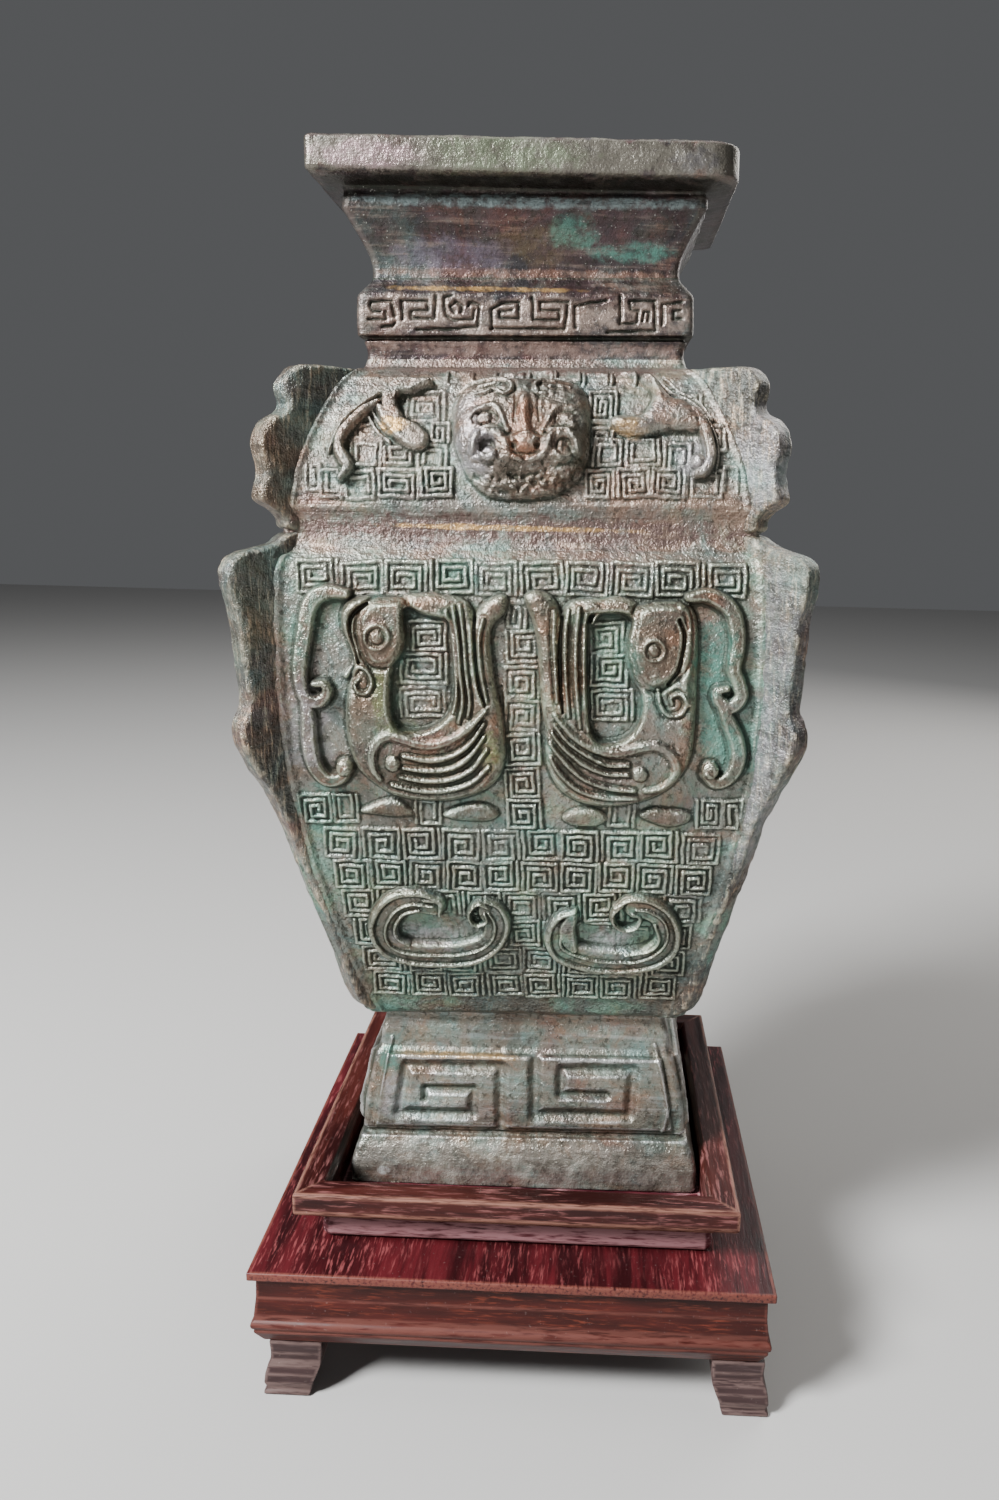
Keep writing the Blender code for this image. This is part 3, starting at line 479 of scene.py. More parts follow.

# Stand riser: a square block of lacquered wood with well rounded edges, which lies on the board and
# carries the tray frame. Its top is the floor of the recess that the vase stands in.

# The riser's pale pink streaks are partly grain and partly painted highlight.
riser_lacquer = lacquered_wood(
    "riser_lacquer", (0.115, 0.022, 0.030), (0.024, 0.004, 0.006), (0.620, 0.320, 0.340),
    (0.420, 0.210, 0.225), 0.10,
)
RISER_BOTTOM = 43.8
RECESS_FLOOR = 50.5
TRAY_X = STAND_X + 0.5
riser = square_block("stand_riser_wood", TRAY_X, 122, RISER_BOTTOM, RECESS_FLOOR - RISER_BOTTOM)
finish_wood(riser, "stand_riser", riser_lacquer, 2.6 * MM, 6)

# Tray frame: four moulded strips of lacquered wood, mitred into a square round the recess and glued
# on the riser. The arrises are rubbed to paler wood.

# The tray's pink streaks are partly grain and partly painted highlight.
tray_lacquer = lacquered_wood(
    "tray_lacquer", (0.044, 0.008, 0.006), (0.014, 0.002, 0.002), (0.220, 0.085, 0.080),
    (0.185, 0.085, 0.062), 0.05, strips=True,
)
tray = mitred_moulding(
    "tray_frame_wood",
    [
        (58.5, 50.8), (61.0, 50.8), (61.0, 54.6), (61.6, 55.2), (66.4, 55.4),
        *arc(66.4, 57.0, 1.6, 1.6, -80, 0, 4), (68.0, 62.6), (67.6, 63.0), (60.0, 63.0),
        (58.5, 60.5),
    ],
    TRAY_X,
)
finish_wood(tray, "tray_frame", tray_lacquer, 0.4 * MM, 2)

# Vase foot: the lower part of the hollow bronze casting, a tapering square base with a plain step, a
# groove and a panel of squared spirals on each side. It stands by its weight in the recess.

LEAN = math.radians(1.01)
VASE_X = 3.5
VASE_Y = 0.1
DEPTH_LESS = 15.5
SIDE_SQUEEZE = 1.0 - DEPTH_LESS / 51.8
GAP_UNDER_FOOT = 0.3
WEAR_REACH = 0.70
EDGE_BULGE = 0.26
CAVITY_DEPTH = 0.30
FULL_RELIEF = 4.0
WELD_DISTANCE = 0.002 * MM
BRONZE_DEPTH = 0.7 * MM
FAR = 9.0


def placed(points):
    """Vase millimetres, heights from the recess floor, to metres on the stand; the vase leans left."""
    x, y, z = points[..., 0], points[..., 1], points[..., 2]
    moved = np.stack([
        x * math.cos(LEAN) - z * math.sin(LEAN) + VASE_X,
        y + VASE_Y,
        x * math.sin(LEAN) + z * math.cos(LEAN) + RECESS_FLOOR,
    ], axis=-1)
    return moved * MM


def spread(values, sigma, axis, wrap=False):
    """Gaussian blur of a grid along one axis, sigma in cells."""
    reach = max(int(3 * sigma), 1)
    kernel = np.exp(-0.5 * (np.arange(-reach, reach + 1) / sigma) ** 2)
    kernel /= kernel.sum()
    moved = np.moveaxis(values, axis, 0)
    width = [(reach, reach)] + [(0, 0)] * (moved.ndim - 1)
    padded = np.pad(moved, width, mode="wrap" if wrap else "reflect")
    total = sum(k * padded[i:i + len(moved)] for i, k in enumerate(kernel))
    return np.moveaxis(total, 0, axis)


def profile_rows(stations, spacing, softness):
    """Rows (height, half-width, corner, out, up) along a profile whose corners are softened."""
    points = np.array(stations, float)
    run = np.r_[0.0, np.cumsum(np.hypot(*np.diff(points[:, :2], axis=0).T))]
    fine = np.arange(0.0, run[-1] + 0.04, 0.05)
    dense = np.column_stack([np.interp(fine, run, points[:, i]) for i in range(3)])
    reach = int(4 * softness / 0.05)
    head = 2 * dense[0] - dense[reach:0:-1]
    tail = 2 * dense[-1] - dense[-2:-reach - 2:-1]
    smooth = spread(np.vstack([head, dense, tail]), softness / 0.05, 0)[reach:reach + len(dense)]
    count = int(round(run[-1] / spacing))
    rows = smooth[np.linspace(0, len(smooth) - 1, count + 1).round().astype(int)]
    along = np.gradient(rows[:, :2], axis=0)
    along /= np.maximum(np.hypot(along[:, 0], along[:, 1]), 1e-9)[:, None]
    return np.column_stack([rows, along[:, 0], -along[:, 1]])


FACES = [(0, -1), (1, 0), (0, 1), (-1, 0)]


def face_columns(counts, corner_steps=4):
    """Columns round a ring, front, right, back and left: where each lies and which way it looks."""
    columns = []
    for number, ((nx, ny), count) in enumerate(zip(FACES, counts)):
        for s in np.linspace(-1.0, 1.0, count):
            columns.append((nx or -ny * s, ny or nx * s, nx, ny, number))
        for i in range(1, corner_steps):
            angle = math.radians(90 * i / corner_steps)
            tx, ty = -ny, nx
            a, b = math.cos(angle), math.sin(angle)
            columns.append((nx + tx, ny + ty, nx * a + tx * b, ny * a + ty * b, -1))
    return np.array(columns, float)


def ripple(u, v, pitch, seed):
    """Smooth random unevenness between -1 and 1, with bumps about a pitch apart."""
    table = np.random.default_rng(seed).uniform(-1.0, 1.0, (64, 64))
    gu, gv = u / pitch + 31.7, v / pitch + 17.3
    iu, iv = np.floor(gu).astype(int), np.floor(gv).astype(int)
    fu, fv = gu - iu, gv - iv
    fu, fv = fu * fu * (3 - 2 * fu), fv * fv * (3 - 2 * fv)
    low = table[iu % 64, iv % 64] * (1 - fu) + table[(iu + 1) % 64, iv % 64] * fu
    high = table[iu % 64, (iv + 1) % 64] * (1 - fu) + table[(iu + 1) % 64, (iv + 1) % 64] * fu
    return low * (1 - fv) + high * fv


def uneven(u, v, *waves):
    """Unevenness as a sum of waves, each with its size, pitch and seed."""
    return sum(size * ripple(u, v, pitch, seed) for size, pitch, seed in waves)


def rise(value, low, high):
    """Smooth step from 0 to 1."""
    share = np.clip((value - low) / (high - low), 0.0, 1.0)
    return share * share * (3 - 2 * share)


def curve(p0, p1, p2, p3, pieces):
    """Points on a smooth curve from p1 on towards p2; p0 and p3 are the neighbours."""
    bend, twist = 2 * p0 - 5 * p1 + 4 * p2 - p3, 3 * p1 - p0 - 3 * p2 + p3
    return [
        0.5 * (2 * p1 + (p2 - p0) * t + bend * t**2 + twist * t**3)
        for t in np.linspace(0.0, 1.0, pieces, endpoint=False)
    ]


def smooth_line(stroke, pieces=6):
    """A stroke's points (x, z, half-width) run through by a smooth curve."""
    points = np.array(stroke, float)
    ends = np.vstack([2 * points[0] - points[1], points, 2 * points[-1] - points[-2]])
    line = [point for i in range(1, len(points)) for point in curve(*ends[i - 1:i + 3], pieces)]
    return np.array([*line, points[-1]])


def from_segment(u, z, x0, z0, x1, z1):
    """The share of a segment at which each point's nearest place lies, and the way from there."""
    dx, dz = x1 - x0, z1 - z0
    t = np.clip(((u - x0) * dx + (z - z0) * dz) / max(dx * dx + dz * dz, 1e-9), 0.0, 1.0)
    return t, u - x0 - t * dx, z - z0 - t * dz


def stroke_reach(u, z, line):
    """Distance to a line in units of its half-width there, and that half-width in millimetres."""
    share = np.full(u.shape, FAR)
    width = np.ones(u.shape)
    pad = line[:, 2].max() * 2 + 2
    near = (
        (u > line[:, 0].min() - pad) & (u < line[:, 0].max() + pad)
        & (z > line[:, 1].min() - pad) & (z < line[:, 1].max() + pad)
    )
    pu, pz = u[near], z[near]
    best, best_width = np.full(pu.shape, FAR), np.ones(pu.shape)
    for (x0, z0, w0), (x1, z1, w1) in zip(line, line[1:]):
        t, off_x, off_z = from_segment(pu, pz, x0, z0, x1, z1)
        w = w0 + (w1 - w0) * t
        d = np.hypot(off_x, off_z) / w
        closer = d < best
        best[closer] = d[closer]
        best_width[closer] = w[closer]
    share[near] = best
    width[near] = best_width
    return share, width


def wider(stroke, factor):
    """The same stroke with other half-widths."""
    return [(x, z, factor * width) for x, z, width in stroke]


def ridge(u, z, stroke, height, curved=True):
    """A raised band with soft shoulders along a stroke."""
    line = smooth_line(stroke) if curved else np.array(stroke, float)
    share, width = stroke_reach(u, z, line)
    flank = np.clip(1.2 / width, 0.15, 0.85)
    crown = 1.0 - 0.10 * np.minimum(share, 1.0) ** 2
    return height * (1.0 - rise(share, 1.0 - flank, 1.0 + 0.35 * flank)) * crown


def raise_strokes(figure, u, z, strokes, height, factor=1.0):
    """The figure with a ridge along each stroke, where that stands higher."""
    for stroke in strokes:
        figure = np.maximum(figure, ridge(u, z, wider(stroke, factor), height))
    return figure


def add_strokes(field, u, z, strokes, height, factor=1.0):
    """The field with a ridge added along each stroke; a negative height cuts a groove."""
    for stroke in strokes:
        field = field + ridge(u, z, wider(stroke, factor), height)
    return field


def dome(x, z, centre, radii):
    """A rounded lump on an oval, 1 in its middle and 0 outside."""
    across, high = (x - centre[0]) / radii[0], (z - centre[1]) / radii[1]
    return np.sqrt(np.clip(1 - across**2 - high**2, 0, 1))


def depth_in(u, z, outline):
    """How deep each point lies inside a smooth closed outline, in millimetres; negative outside."""
    points = np.array(outline, float)
    around = np.vstack([points[-1:], points, points[:2]])
    ring = [point for i in range(len(points)) for point in curve(*around[i:i + 4], 4)]
    depth = np.full(u.shape, -FAR)
    low, high = points.min(axis=0) - 2.5, points.max(axis=0) + 2.5
    near = (u > low[0]) & (u < high[0]) & (z > low[1]) & (z < high[1])
    pu, pz = u[near], z[near]
    apart = np.full(pu.shape, FAR**2)
    within = np.zeros(pu.shape, bool)
    for (x0, z0), (x1, z1) in zip(ring, ring[1:] + ring[:1]):
        _, off_x, off_z = from_segment(pu, pz, x0, z0, x1, z1)
        apart = np.minimum(apart, off_x**2 + off_z**2)
        if z0 != z1:
            within ^= ((z0 > pz) != (z1 > pz)) & (pu < x0 + (x1 - x0) * (pz - z0) / (z1 - z0))
    depth[near] = np.where(within, 1.0, -1.0) * np.sqrt(apart)
    return depth


def raised(u, z, outline, height, flank):
    """A raised field with a rounded edge inside an outline."""
    share = np.clip((depth_in(u, z, outline) + 0.3) / flank, 0.0, 1.0)
    return height * np.sqrt(1.0 - (1.0 - share) ** 2)


def squared_spiral(wide, tall, pitch):
    """Centre line of one squared spiral that winds inwards, in a cell of the given half-sizes."""
    points = [(-wide, -tall), (-wide, tall), (wide, tall), (wide, -tall)]
    step = 1
    while min(wide, tall) - step * pitch > 0.15 * min(wide, tall):
        across, high, start = wide - step * pitch, tall - step * pitch, -tall + (step - 1) * pitch
        points += [(-across, start), (-across, high), (across, high), (across, -high)]
        step += 1
    return points


def spiral_ground(u, z, cells, height, pitch, half_line):
    """The thunder-pattern ground: squared spirals in fine raised line, one for each cell."""
    field = np.zeros(u.shape)
    chance = np.random.default_rng(7)
    u = u + uneven(u, z, (0.20, 3.1, 31), (0.10, 1.1, 33))
    z = z + uneven(u, z, (0.20, 3.3, 32), (0.10, 1.2, 34))
    for number, (cx, cz, wide, tall) in enumerate(cells):
        jog_x, jog_z, tilt = (chance.uniform(-far, far) for far in (0.3, 0.25, 0.05))
        fine = max(min(wide, tall) / 2.5, pitch) * chance.uniform(0.95, 1.05)
        left_over = chance.uniform(0.70, 1.12)
        near = (np.abs(u - cx) < wide + 1.2) & (np.abs(z - cz) < tall + 1.2)
        if not near.any():
            continue
        hand = 1 if number % 2 else -1
        flip = 1 if number % 3 else -1
        pu, pz = u[near] - cx - jog_x, z[near] - cz - jog_z
        pu, pz = (pu + tilt * pz) * hand, (pz - tilt * pu) * flip
        best = np.full(pu.shape, FAR)
        points = squared_spiral(wide, tall, fine)
        for (x0, z0), (x1, z1) in zip(points, points[1:]):
            along = np.clip(np.maximum(min(x0, x1) - pu, pu - max(x0, x1)), 0, None)
            aside = np.clip(np.maximum(min(z0, z1) - pz, pz - max(z0, z1)), 0, None)
            best = np.minimum(best, np.hypot(along, aside))
        line = height * left_over * (1.0 - rise(best, half_line - 0.24, half_line + 0.32))
        field[near] = np.maximum(field[near], line)
    return field


def button(u, z, x, y, radius):
    """A round lump, 1 in its middle and 0 outside."""
    return dome(u, z, (x, y), (radius, radius))


def ring_boss(u, z, x, y, radius):
    """A raised ring with a round boss in it."""
    ring = np.exp(-(((np.hypot(u - x, z - y) - radius) / 0.62) ** 2))
    return np.maximum(ring, 1.1 * button(u, z, x, y, 0.58 * radius))


def surface_piece(name, points, normals, relief, wrap, material, cuts=()):
    """Mesh grids whose points are moved onto the casting's surface, with edge, cavity and relief
    attributes.
    """
    steps = [np.median(np.linalg.norm(np.diff(points, axis=axis), axis=-1)) for axis in (0, 1)]
    reach = [max(WEAR_REACH / step, 1.0) for step in steps]
    soft = spread(spread(points, reach[0], 0), reach[1], 1, wrap)
    bulge = ((points - soft) * normals).sum(axis=-1)
    # edge drives rubbed metal and painted highlights on ridges; cavity drives painted shade in hollows
    layers = {
        "edge": np.clip(bulge / EDGE_BULGE, 0.0, 1.0),
        "cavity": np.clip(-bulge / CAVITY_DEPTH, 0.0, 1.0),
        "relief": np.clip(relief / FULL_RELIEF, 0.0, 1.0),
    }
    world_points = placed(points)
    world_points[..., 2] = np.maximum(world_points[..., 2], (RECESS_FLOOR + GAP_UNDER_FOOT) * MM)
    if wrap:
        world_points = np.concatenate([world_points, world_points[:, :1]], axis=1)
        layers = {key: np.concatenate([value, value[:, :1]], axis=1) for key, value in layers.items()}
    levels = [0, *cuts, len(points) - 1]
    for number, (low, high) in enumerate(zip(levels, levels[1:]), 1):
        bpy.ops.object.select_all(action="DESELECT")
        bpy.ops.mesh.primitive_grid_add(
            x_subdivisions=world_points.shape[1] - 1, y_subdivisions=high - low, size=1.0,
        )
        made = bpy.context.object
        made.name = f"{name}_{number}" if cuts else name
        made.data.vertices.foreach_set("co", world_points[low:high + 1].reshape(-1))
        for key, value in layers.items():
            layer = made.data.attributes.new(key, "FLOAT", "POINT")
            layer.data.foreach_set("value", value[low:high + 1].reshape(-1))
        made.data.update()
        if wrap:
            bpy.ops.object.mode_set(mode="EDIT")
            bpy.ops.mesh.select_all(action="SELECT")
            bpy.ops.mesh.remove_doubles(threshold=WELD_DISTANCE)
            bpy.ops.object.mode_set(mode="OBJECT")
        bpy.ops.object.shade_smooth()
        made.data.materials.append(material)
        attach(made, "root")
        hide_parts("vase")
    return made


def wall_piece(name, rows, columns, heights, wrap, material, tip=0.0, worn=0.0, cuts=()):
    """Part of the vase's wall: profile rows and face columns raised by the relief, cut where asked."""
    z, w, c, out, rise_up = (rows[:, i:i + 1] for i in range(5))
    a, b, nx, ny = (columns[:, i][None, :] for i in range(4))
    c = np.maximum(np.broadcast_to(c, (len(rows), len(columns))), worn)
    x = a * (w - c) + c * nx
    y = b * (w - DEPTH_LESS - c) + c * ny
    normals = np.stack([nx * out, ny * out, np.broadcast_to(rise_up, x.shape)], axis=-1)
    points = np.stack([x, y, np.broadcast_to(z, x.shape)], axis=-1) + normals * heights[..., None]
    points[..., 2] -= tip * points[..., 0]
    cut_rows = [int(np.argmin(np.abs(rows[:, 0] - level))) for level in cuts]
    return surface_piece(name, points, normals, heights, wrap, material, cut_rows)


def swing(tree, value, size):
    """A noise's swing to both sides of its middle, made to a size."""
    return times(tree, minus(tree, value, 0.5), size)


def bronze_patina():
    """Brown metal figures, grey dusty ground lines, painted shade in grooves, verdigris and rough grain.
    """
    tree, given, gives = new_group(
        "bronze_patina",
        ["place", "brush_place", "edge", "cavity", "relief", "metal_colour", "film_colour",
         "verdigris_colour", "bright_colour", "verdigris_share", "bright_share", "brushed",
         "pale_share", "low_share"],
        ["colour", "roughness", "metallic", "height"],
    )
    place = given["place"]
    cloud = noise(tree, place, 24.0, 4.0, 0.6, 0.3)
    blotch = noise(tree, place, 95.0, 4.0, 0.65, 0.4)
    tint = noise(tree, stretched(tree, place, (1.0, 1.0, 1.7)), 46.0, 4.0, 0.6, 0.5)
    mood = noise(tree, place, 62.0, 5.0, 0.7, 0.8)
    brush = noise(tree, given["brush_place"], 38.0, 5.0, 0.7, 0.3)
    grit = noise(tree, place, 520.0, 3.0, 0.7)
    speck = noise(tree, place, 1300.0, 2.0, 0.65)
    level = add_node(tree, "ShaderNodeSeparateXYZ")
    join(tree, level.inputs["Vector"], place)

    high = between(tree, plus(tree, given["relief"], swing(tree, blotch, 0.55)), 0.34, 0.66)
    open_ground = times(tree, minus(tree, 1.0, high), given["brushed"])
    crust = plus(tree, times(tree, cloud, 0.6), times(tree, blotch, 0.6))
    crust = minus(tree, crust, times(tree, given["relief"], 0.06))
    # Convex edges are painted pale: partly rubbed metal, partly painted highlight.
    rubbed = plus(tree, given["edge"], swing(tree, blotch, 1.0))
    hollow = plus(tree, given["cavity"], swing(tree, grit, 0.7))
    colour = blend(tree, high, given["film_colour"], given["metal_colour"])
    colour, shares = lay_tones(tree, colour, (
        ("purple", tint, 0.50, 0.68, 0.42, (0.135, 0.078, 0.084)),
        # low: painted shade, the body darker and greener towards its bottom
        ("low", level.outputs["Z"], 0.235, 0.115, given["low_share"], (0.084, 0.118, 0.106)),
        ("gloom", cloud, 0.47, 0.34, 0.50, (0.058, 0.046, 0.040)),
        ("pale", cloud, 0.50, 0.68, given["pale_share"], (0.330, 0.345, 0.330)),
        ("green", crust, 0.56, 0.72, given["verdigris_share"], given["verdigris_colour"]),
        ("shine", brush, 0.50, 0.66, open_ground, given["bright_colour"]),
        ("dim", brush, 0.50, 0.34, open_ground, (0.028, 0.022, 0.020)),
        ("warm", mood, 0.50, 0.63, 0.74, (1.32, 0.95, 0.80), "MULTIPLY"),
        ("cool", mood, 0.49, 0.37, 0.74, (0.76, 1.04, 1.12), "MULTIPLY"),
        # bright: pale edges, partly rubbed metal and partly painted highlight
        ("bright", rubbed, 0.35, 0.95, given["bright_share"], given["bright_colour"]),
        # groove: painted shade, dark in the grooves and hollows that the cavity attribute finds
        ("groove", hollow, 0.15, 0.80, 0.74, (0.015, 0.023, 0.014)),
        ("dark", grit, 0.52, 0.66, 0.60, (0.028, 0.026, 0.020)),
        # Pale specks: partly dust, partly painted glints.
        ("specks", speck, 0.65, 0.73, 0.38, (0.620, 0.630, 0.570)),
    ))
    join(tree, gives["colour"], colour)
    dull = plus(tree, plus(tree, 0.35, times(tree, shares["green"], 0.24)), swing(tree, blotch, 0.40))
    dull = plus(tree, dull, times(tree, shares["groove"], 0.25))
    join(tree, gives["roughness"], minus(tree, dull, times(tree, shares["bright"], 0.08), True))
    metal = plus(tree, 0.72, times(tree, high, 0.16))
    metal = minus(tree, metal, times(tree, shares["green"], 0.40))
    join(tree, gives["metallic"], minus(tree, metal, times(tree, shares["specks"], 0.5), True))
    brushed = times(tree, times(tree, brush, given["brushed"]), 2.0)
    rough = plus(tree, times(tree, grit, 0.9), times(tree, speck, 0.5))
    join(tree, gives["height"], plus(tree, brushed, plus(tree, rough, blotch)))
    return tree


BRONZE_PATINA = bronze_patina()


def vector_step(tree, operation, vector, other=None):
    """One vector maths node; gives its sockets."""
    made = add_node(tree, "ShaderNodeVectorMath", operation=operation)
    join(tree, made.inputs[0], vector)
    if other is not None:
        made.inputs[1].default_value = other
    return made.outputs


def patch(tree, place, centre, radii):
    """A mask round a point of the surface, with a ragged border; vase millimetres."""
    away = vector_step(tree, "SUBTRACT", place, placed(np.array(centre, float)))["Vector"]
    away = vector_step(tree, "DIVIDE", away, [radius * MM for radius in radii])["Vector"]
    length = vector_step(tree, "LENGTH", away)["Value"]
    ragged_edge = swing(tree, noise(tree, place, 140.0, 4.0, 0.7), 2.0)
    inside = between(tree, plus(tree, length, ragged_edge), 1.15, 0.55)
    return times(tree, inside, between(tree, noise(tree, place, 330.0, 4.0, 0.7), 0.36, 0.60, 0.25, 1.0))


def bronze(name, metal, film, verdigris, bright, verdigris_share, bright_share, patches=(),
           bump=0.9, brushed=0.0, brush_stretch=(1.0, 1.0, 13.0), pale_share=0.36, low_share=0.0):
    """Patinated bronze with its own tones; patches are (centre, radii, colour, strength)."""
    values = {
        "metal_colour": metal, "film_colour": film, "verdigris_colour": verdigris,
        "bright_colour": bright, "verdigris_share": verdigris_share, "bright_share": bright_share,
        "brushed": brushed, "pale_share": pale_share, "low_share": low_share,
    }
    made, shader, group, place = grouped_material(
        name, BRONZE_PATINA, ["edge", "cavity", "relief"], values, bump, BRONZE_DEPTH,
    )
    tree = made.node_tree
    join(tree, group.inputs["brush_place"], stretched(tree, place, brush_stretch))
    join(tree, shader.inputs["Metallic"], group.outputs["metallic"])
    colour = group.outputs["colour"]
    cavity = group.inputs["cavity"].links[0].from_socket
    open_metal = minus(tree, 1.0, times(tree, cavity, 0.8))
    for centre, radii, tone, strength in patches:
        share = times(tree, patch(tree, place, centre, radii), strength, True)
        colour = blend(tree, times(tree, share, open_metal), colour, tone)
    join(tree, shader.inputs["Base Color"], colour)
    return made


PALE_VERDIGRIS = (0.105, 0.235, 0.165)
# Pale gold of rubbed edges, also painted as highlight on the flanges' edges.
WORN_GOLD_AND_HIGHLIGHT = (0.640, 0.560, 0.420)
LIME = (0.150, 0.215, 0.065)
TURQUOISE = (0.090, 0.255, 0.205)
# Lavender grey: a patina tone, and also painted light on faces turned to the lamp.
LAVENDER_AND_LIGHT = (0.420, 0.400, 0.420)
COPPER = (0.250, 0.130, 0.090)
OLIVE_GREY = (0.300, 0.295, 0.235)
GOLD = (0.600, 0.360, 0.130)
# Dark brown, also painted as shade on the mask's right half.
DARK_EARTH_AND_SHADE = (0.070, 0.064, 0.048)
CLAW_BROWN = (0.092, 0.078, 0.056)
HEAD_BROWN = (0.120, 0.086, 0.064)

FOOT_STATIONS = [
    (54, 42, 2), (53, 38, 2), (51, 36, 2), (18.5, 46.8, 2), (2, 49.6, 2), (0, 50.6, 2), (-0.6, 55.8, 2),
    (0.2, 56.6, 2), (7, 56.6, 2), (9, 56.2, 2), (13, 55, 2), (15, 54, 2), (16.2, 53.5, 1.9),
    (16.5, 51.9, 1.6), (18.2, 51.7, 1.6), (18.6, 52.9, 1.8), (28, 52.1, 2), (36, 50.4, 2),
    (43.2, 48.9, 2), (44.4, 48.2, 2), (45.4, 47.4, 1.8), (50.5, 47, 1.8), (55, 45.8, 1.8),
    (56.8, 45.4, 1.8), (57.2, 44, 1.6),
]
FOOT_GROOVES = [
    [(-7.3, 17.4, 1.7), (-7.6, 39.9, 1.8), (-38.5, 39.6, 1.7), (-40.7, 24.5, 1.8), (-16.6, 24.7, 1.7),
     (-16.4, 32.6, 1.5), (-32.1, 32.5, 1.3), (-32.4, 29.2, 1)],
    [(3.5, 49.6, 1.7), (3.7, 24.8, 1.9), (34.5, 25.2, 1.7), (35.6, 39.9, 1.8), (12.4, 39.4, 1.7),
     (11.9, 31.6, 1.4), (26.9, 31.6, 1.4)],
]
PANEL_RIDGES = [
    [(-43.5, 48, 0.8), (-46.3, 34.2, 0.8), (-49.2, 21, 0.8)],
    [(-46.4, 47.3, 0.6), (-49.6, 34.1, 0.6), (-51.9, 21.6, 0.6)],
    [(42.6, 47.2, 0.9), (45.7, 34.6, 1), (47.1, 28.1, 1), (45.3, 19.9, 0.8)],
]


def foot_relief(u, z, squeeze, reach):
    """Two sunken squared spirals in a raised panel, with double lines down both sides of it."""
    x = u / squeeze
    slant = 49.4 - 0.16 * (z - 18.0)
    panel = rise(slant - np.abs(x), 0.0, 1.2) * rise(z, 19.2, 20.8) * (1.0 - rise(z, 42.6, 43.8))
    field = 1.5 * panel
    sunk = np.zeros(u.shape)
    for stroke in FOOT_GROOVES:
        share, _ = stroke_reach(x, z, np.array(stroke, float))
        sunk = np.maximum(sunk, 1.0 - rise(share, 0.05, 1.60))
    field -= 1.7 * sunk * panel
    for stroke in PANEL_RIDGES:
        field = field + ridge(x, z, stroke, 0.8, curved=False)
    return field + uneven(u, z, (0.14, 7.0, 3), (0.10, 2.1, 4))


def relief_of(rows, columns, relief):
    """Runs a relief function on every face of a ring or sheet; the corners stay plain."""
    heights = np.zeros((len(rows), len(columns)))
    z, half, corner = (rows[:, i:i + 1] for i in range(3))
    for number in range(4):
        mine = columns[:, 4] == number
        if not mine.any():
            continue
        wide = number % 2 == 0
        reach = (half if wide else half - DEPTH_LESS) - corner
        position = columns[mine, 0 if wide else 1][None, :]
        u = (1 if number < 2 else -1) * position * reach
        zz = np.broadcast_to(z, u.shape)
        fade = 1.0 - rise(np.abs(position), 0.955, 1.0)
        reach = np.broadcast_to(reach, u.shape)
        heights[:, mine] = relief(u, zz, 1.0 if wide else SIDE_SQUEEZE, reach) * fade
    return heights


foot_bronze = bronze(
    "foot_bronze", (0.200, 0.166, 0.130), (0.176, 0.160, 0.128), (0.110, 0.190, 0.165),
    (0.500, 0.500, 0.490), 0.50, 0.60,
    patches=[
        ((-20, -36, 43.2), (22, 9, 1), GOLD, 0.6),
        ((-44, -33, 41), (5, 9, 5), TURQUOISE, 0.7),
        # Painted light: a paler band on the front of the foot's base.
        ((0, -34, 8), (80, 30, 8), (0.380, 0.345, 0.300), 0.70),
        ((-45.5, -41, 5.5), (2.2, 6, 1.6), (0.700, 0.760, 0.720), 0.95),
        # Painted highlight on the left double ridge.
        ((-43, -36, 30), (4, 9, 10), LAVENDER_AND_LIGHT, 0.45),
    ],
    bump=0.55, brushed=0.22,
)
foot_rows = profile_rows(FOOT_STATIONS, 0.45, 0.30)
foot_ring = face_columns((250, 70, 100, 70))
foot_heights = relief_of(foot_rows, foot_ring, foot_relief)
foot_lip = int(np.argmin(foot_rows[:, 0]))
inner_rows = np.r_[0:foot_lip:3, foot_lip]
plain = np.zeros((len(inner_rows), len(foot_ring)))
wall_piece("vase_foot_inside", foot_rows[inner_rows], foot_ring, plain, True, foot_bronze)
foot_heights[foot_lip] = 0.0
wall_piece(
    "vase_foot", foot_rows[foot_lip:], foot_ring, foot_heights[foot_lip:], True, foot_bronze,
)

# Vase body: the casting's bellied middle, cast with a bird on each half of every face, two volutes
# under them and a ground of fine squared spirals. The front shows the finest work.

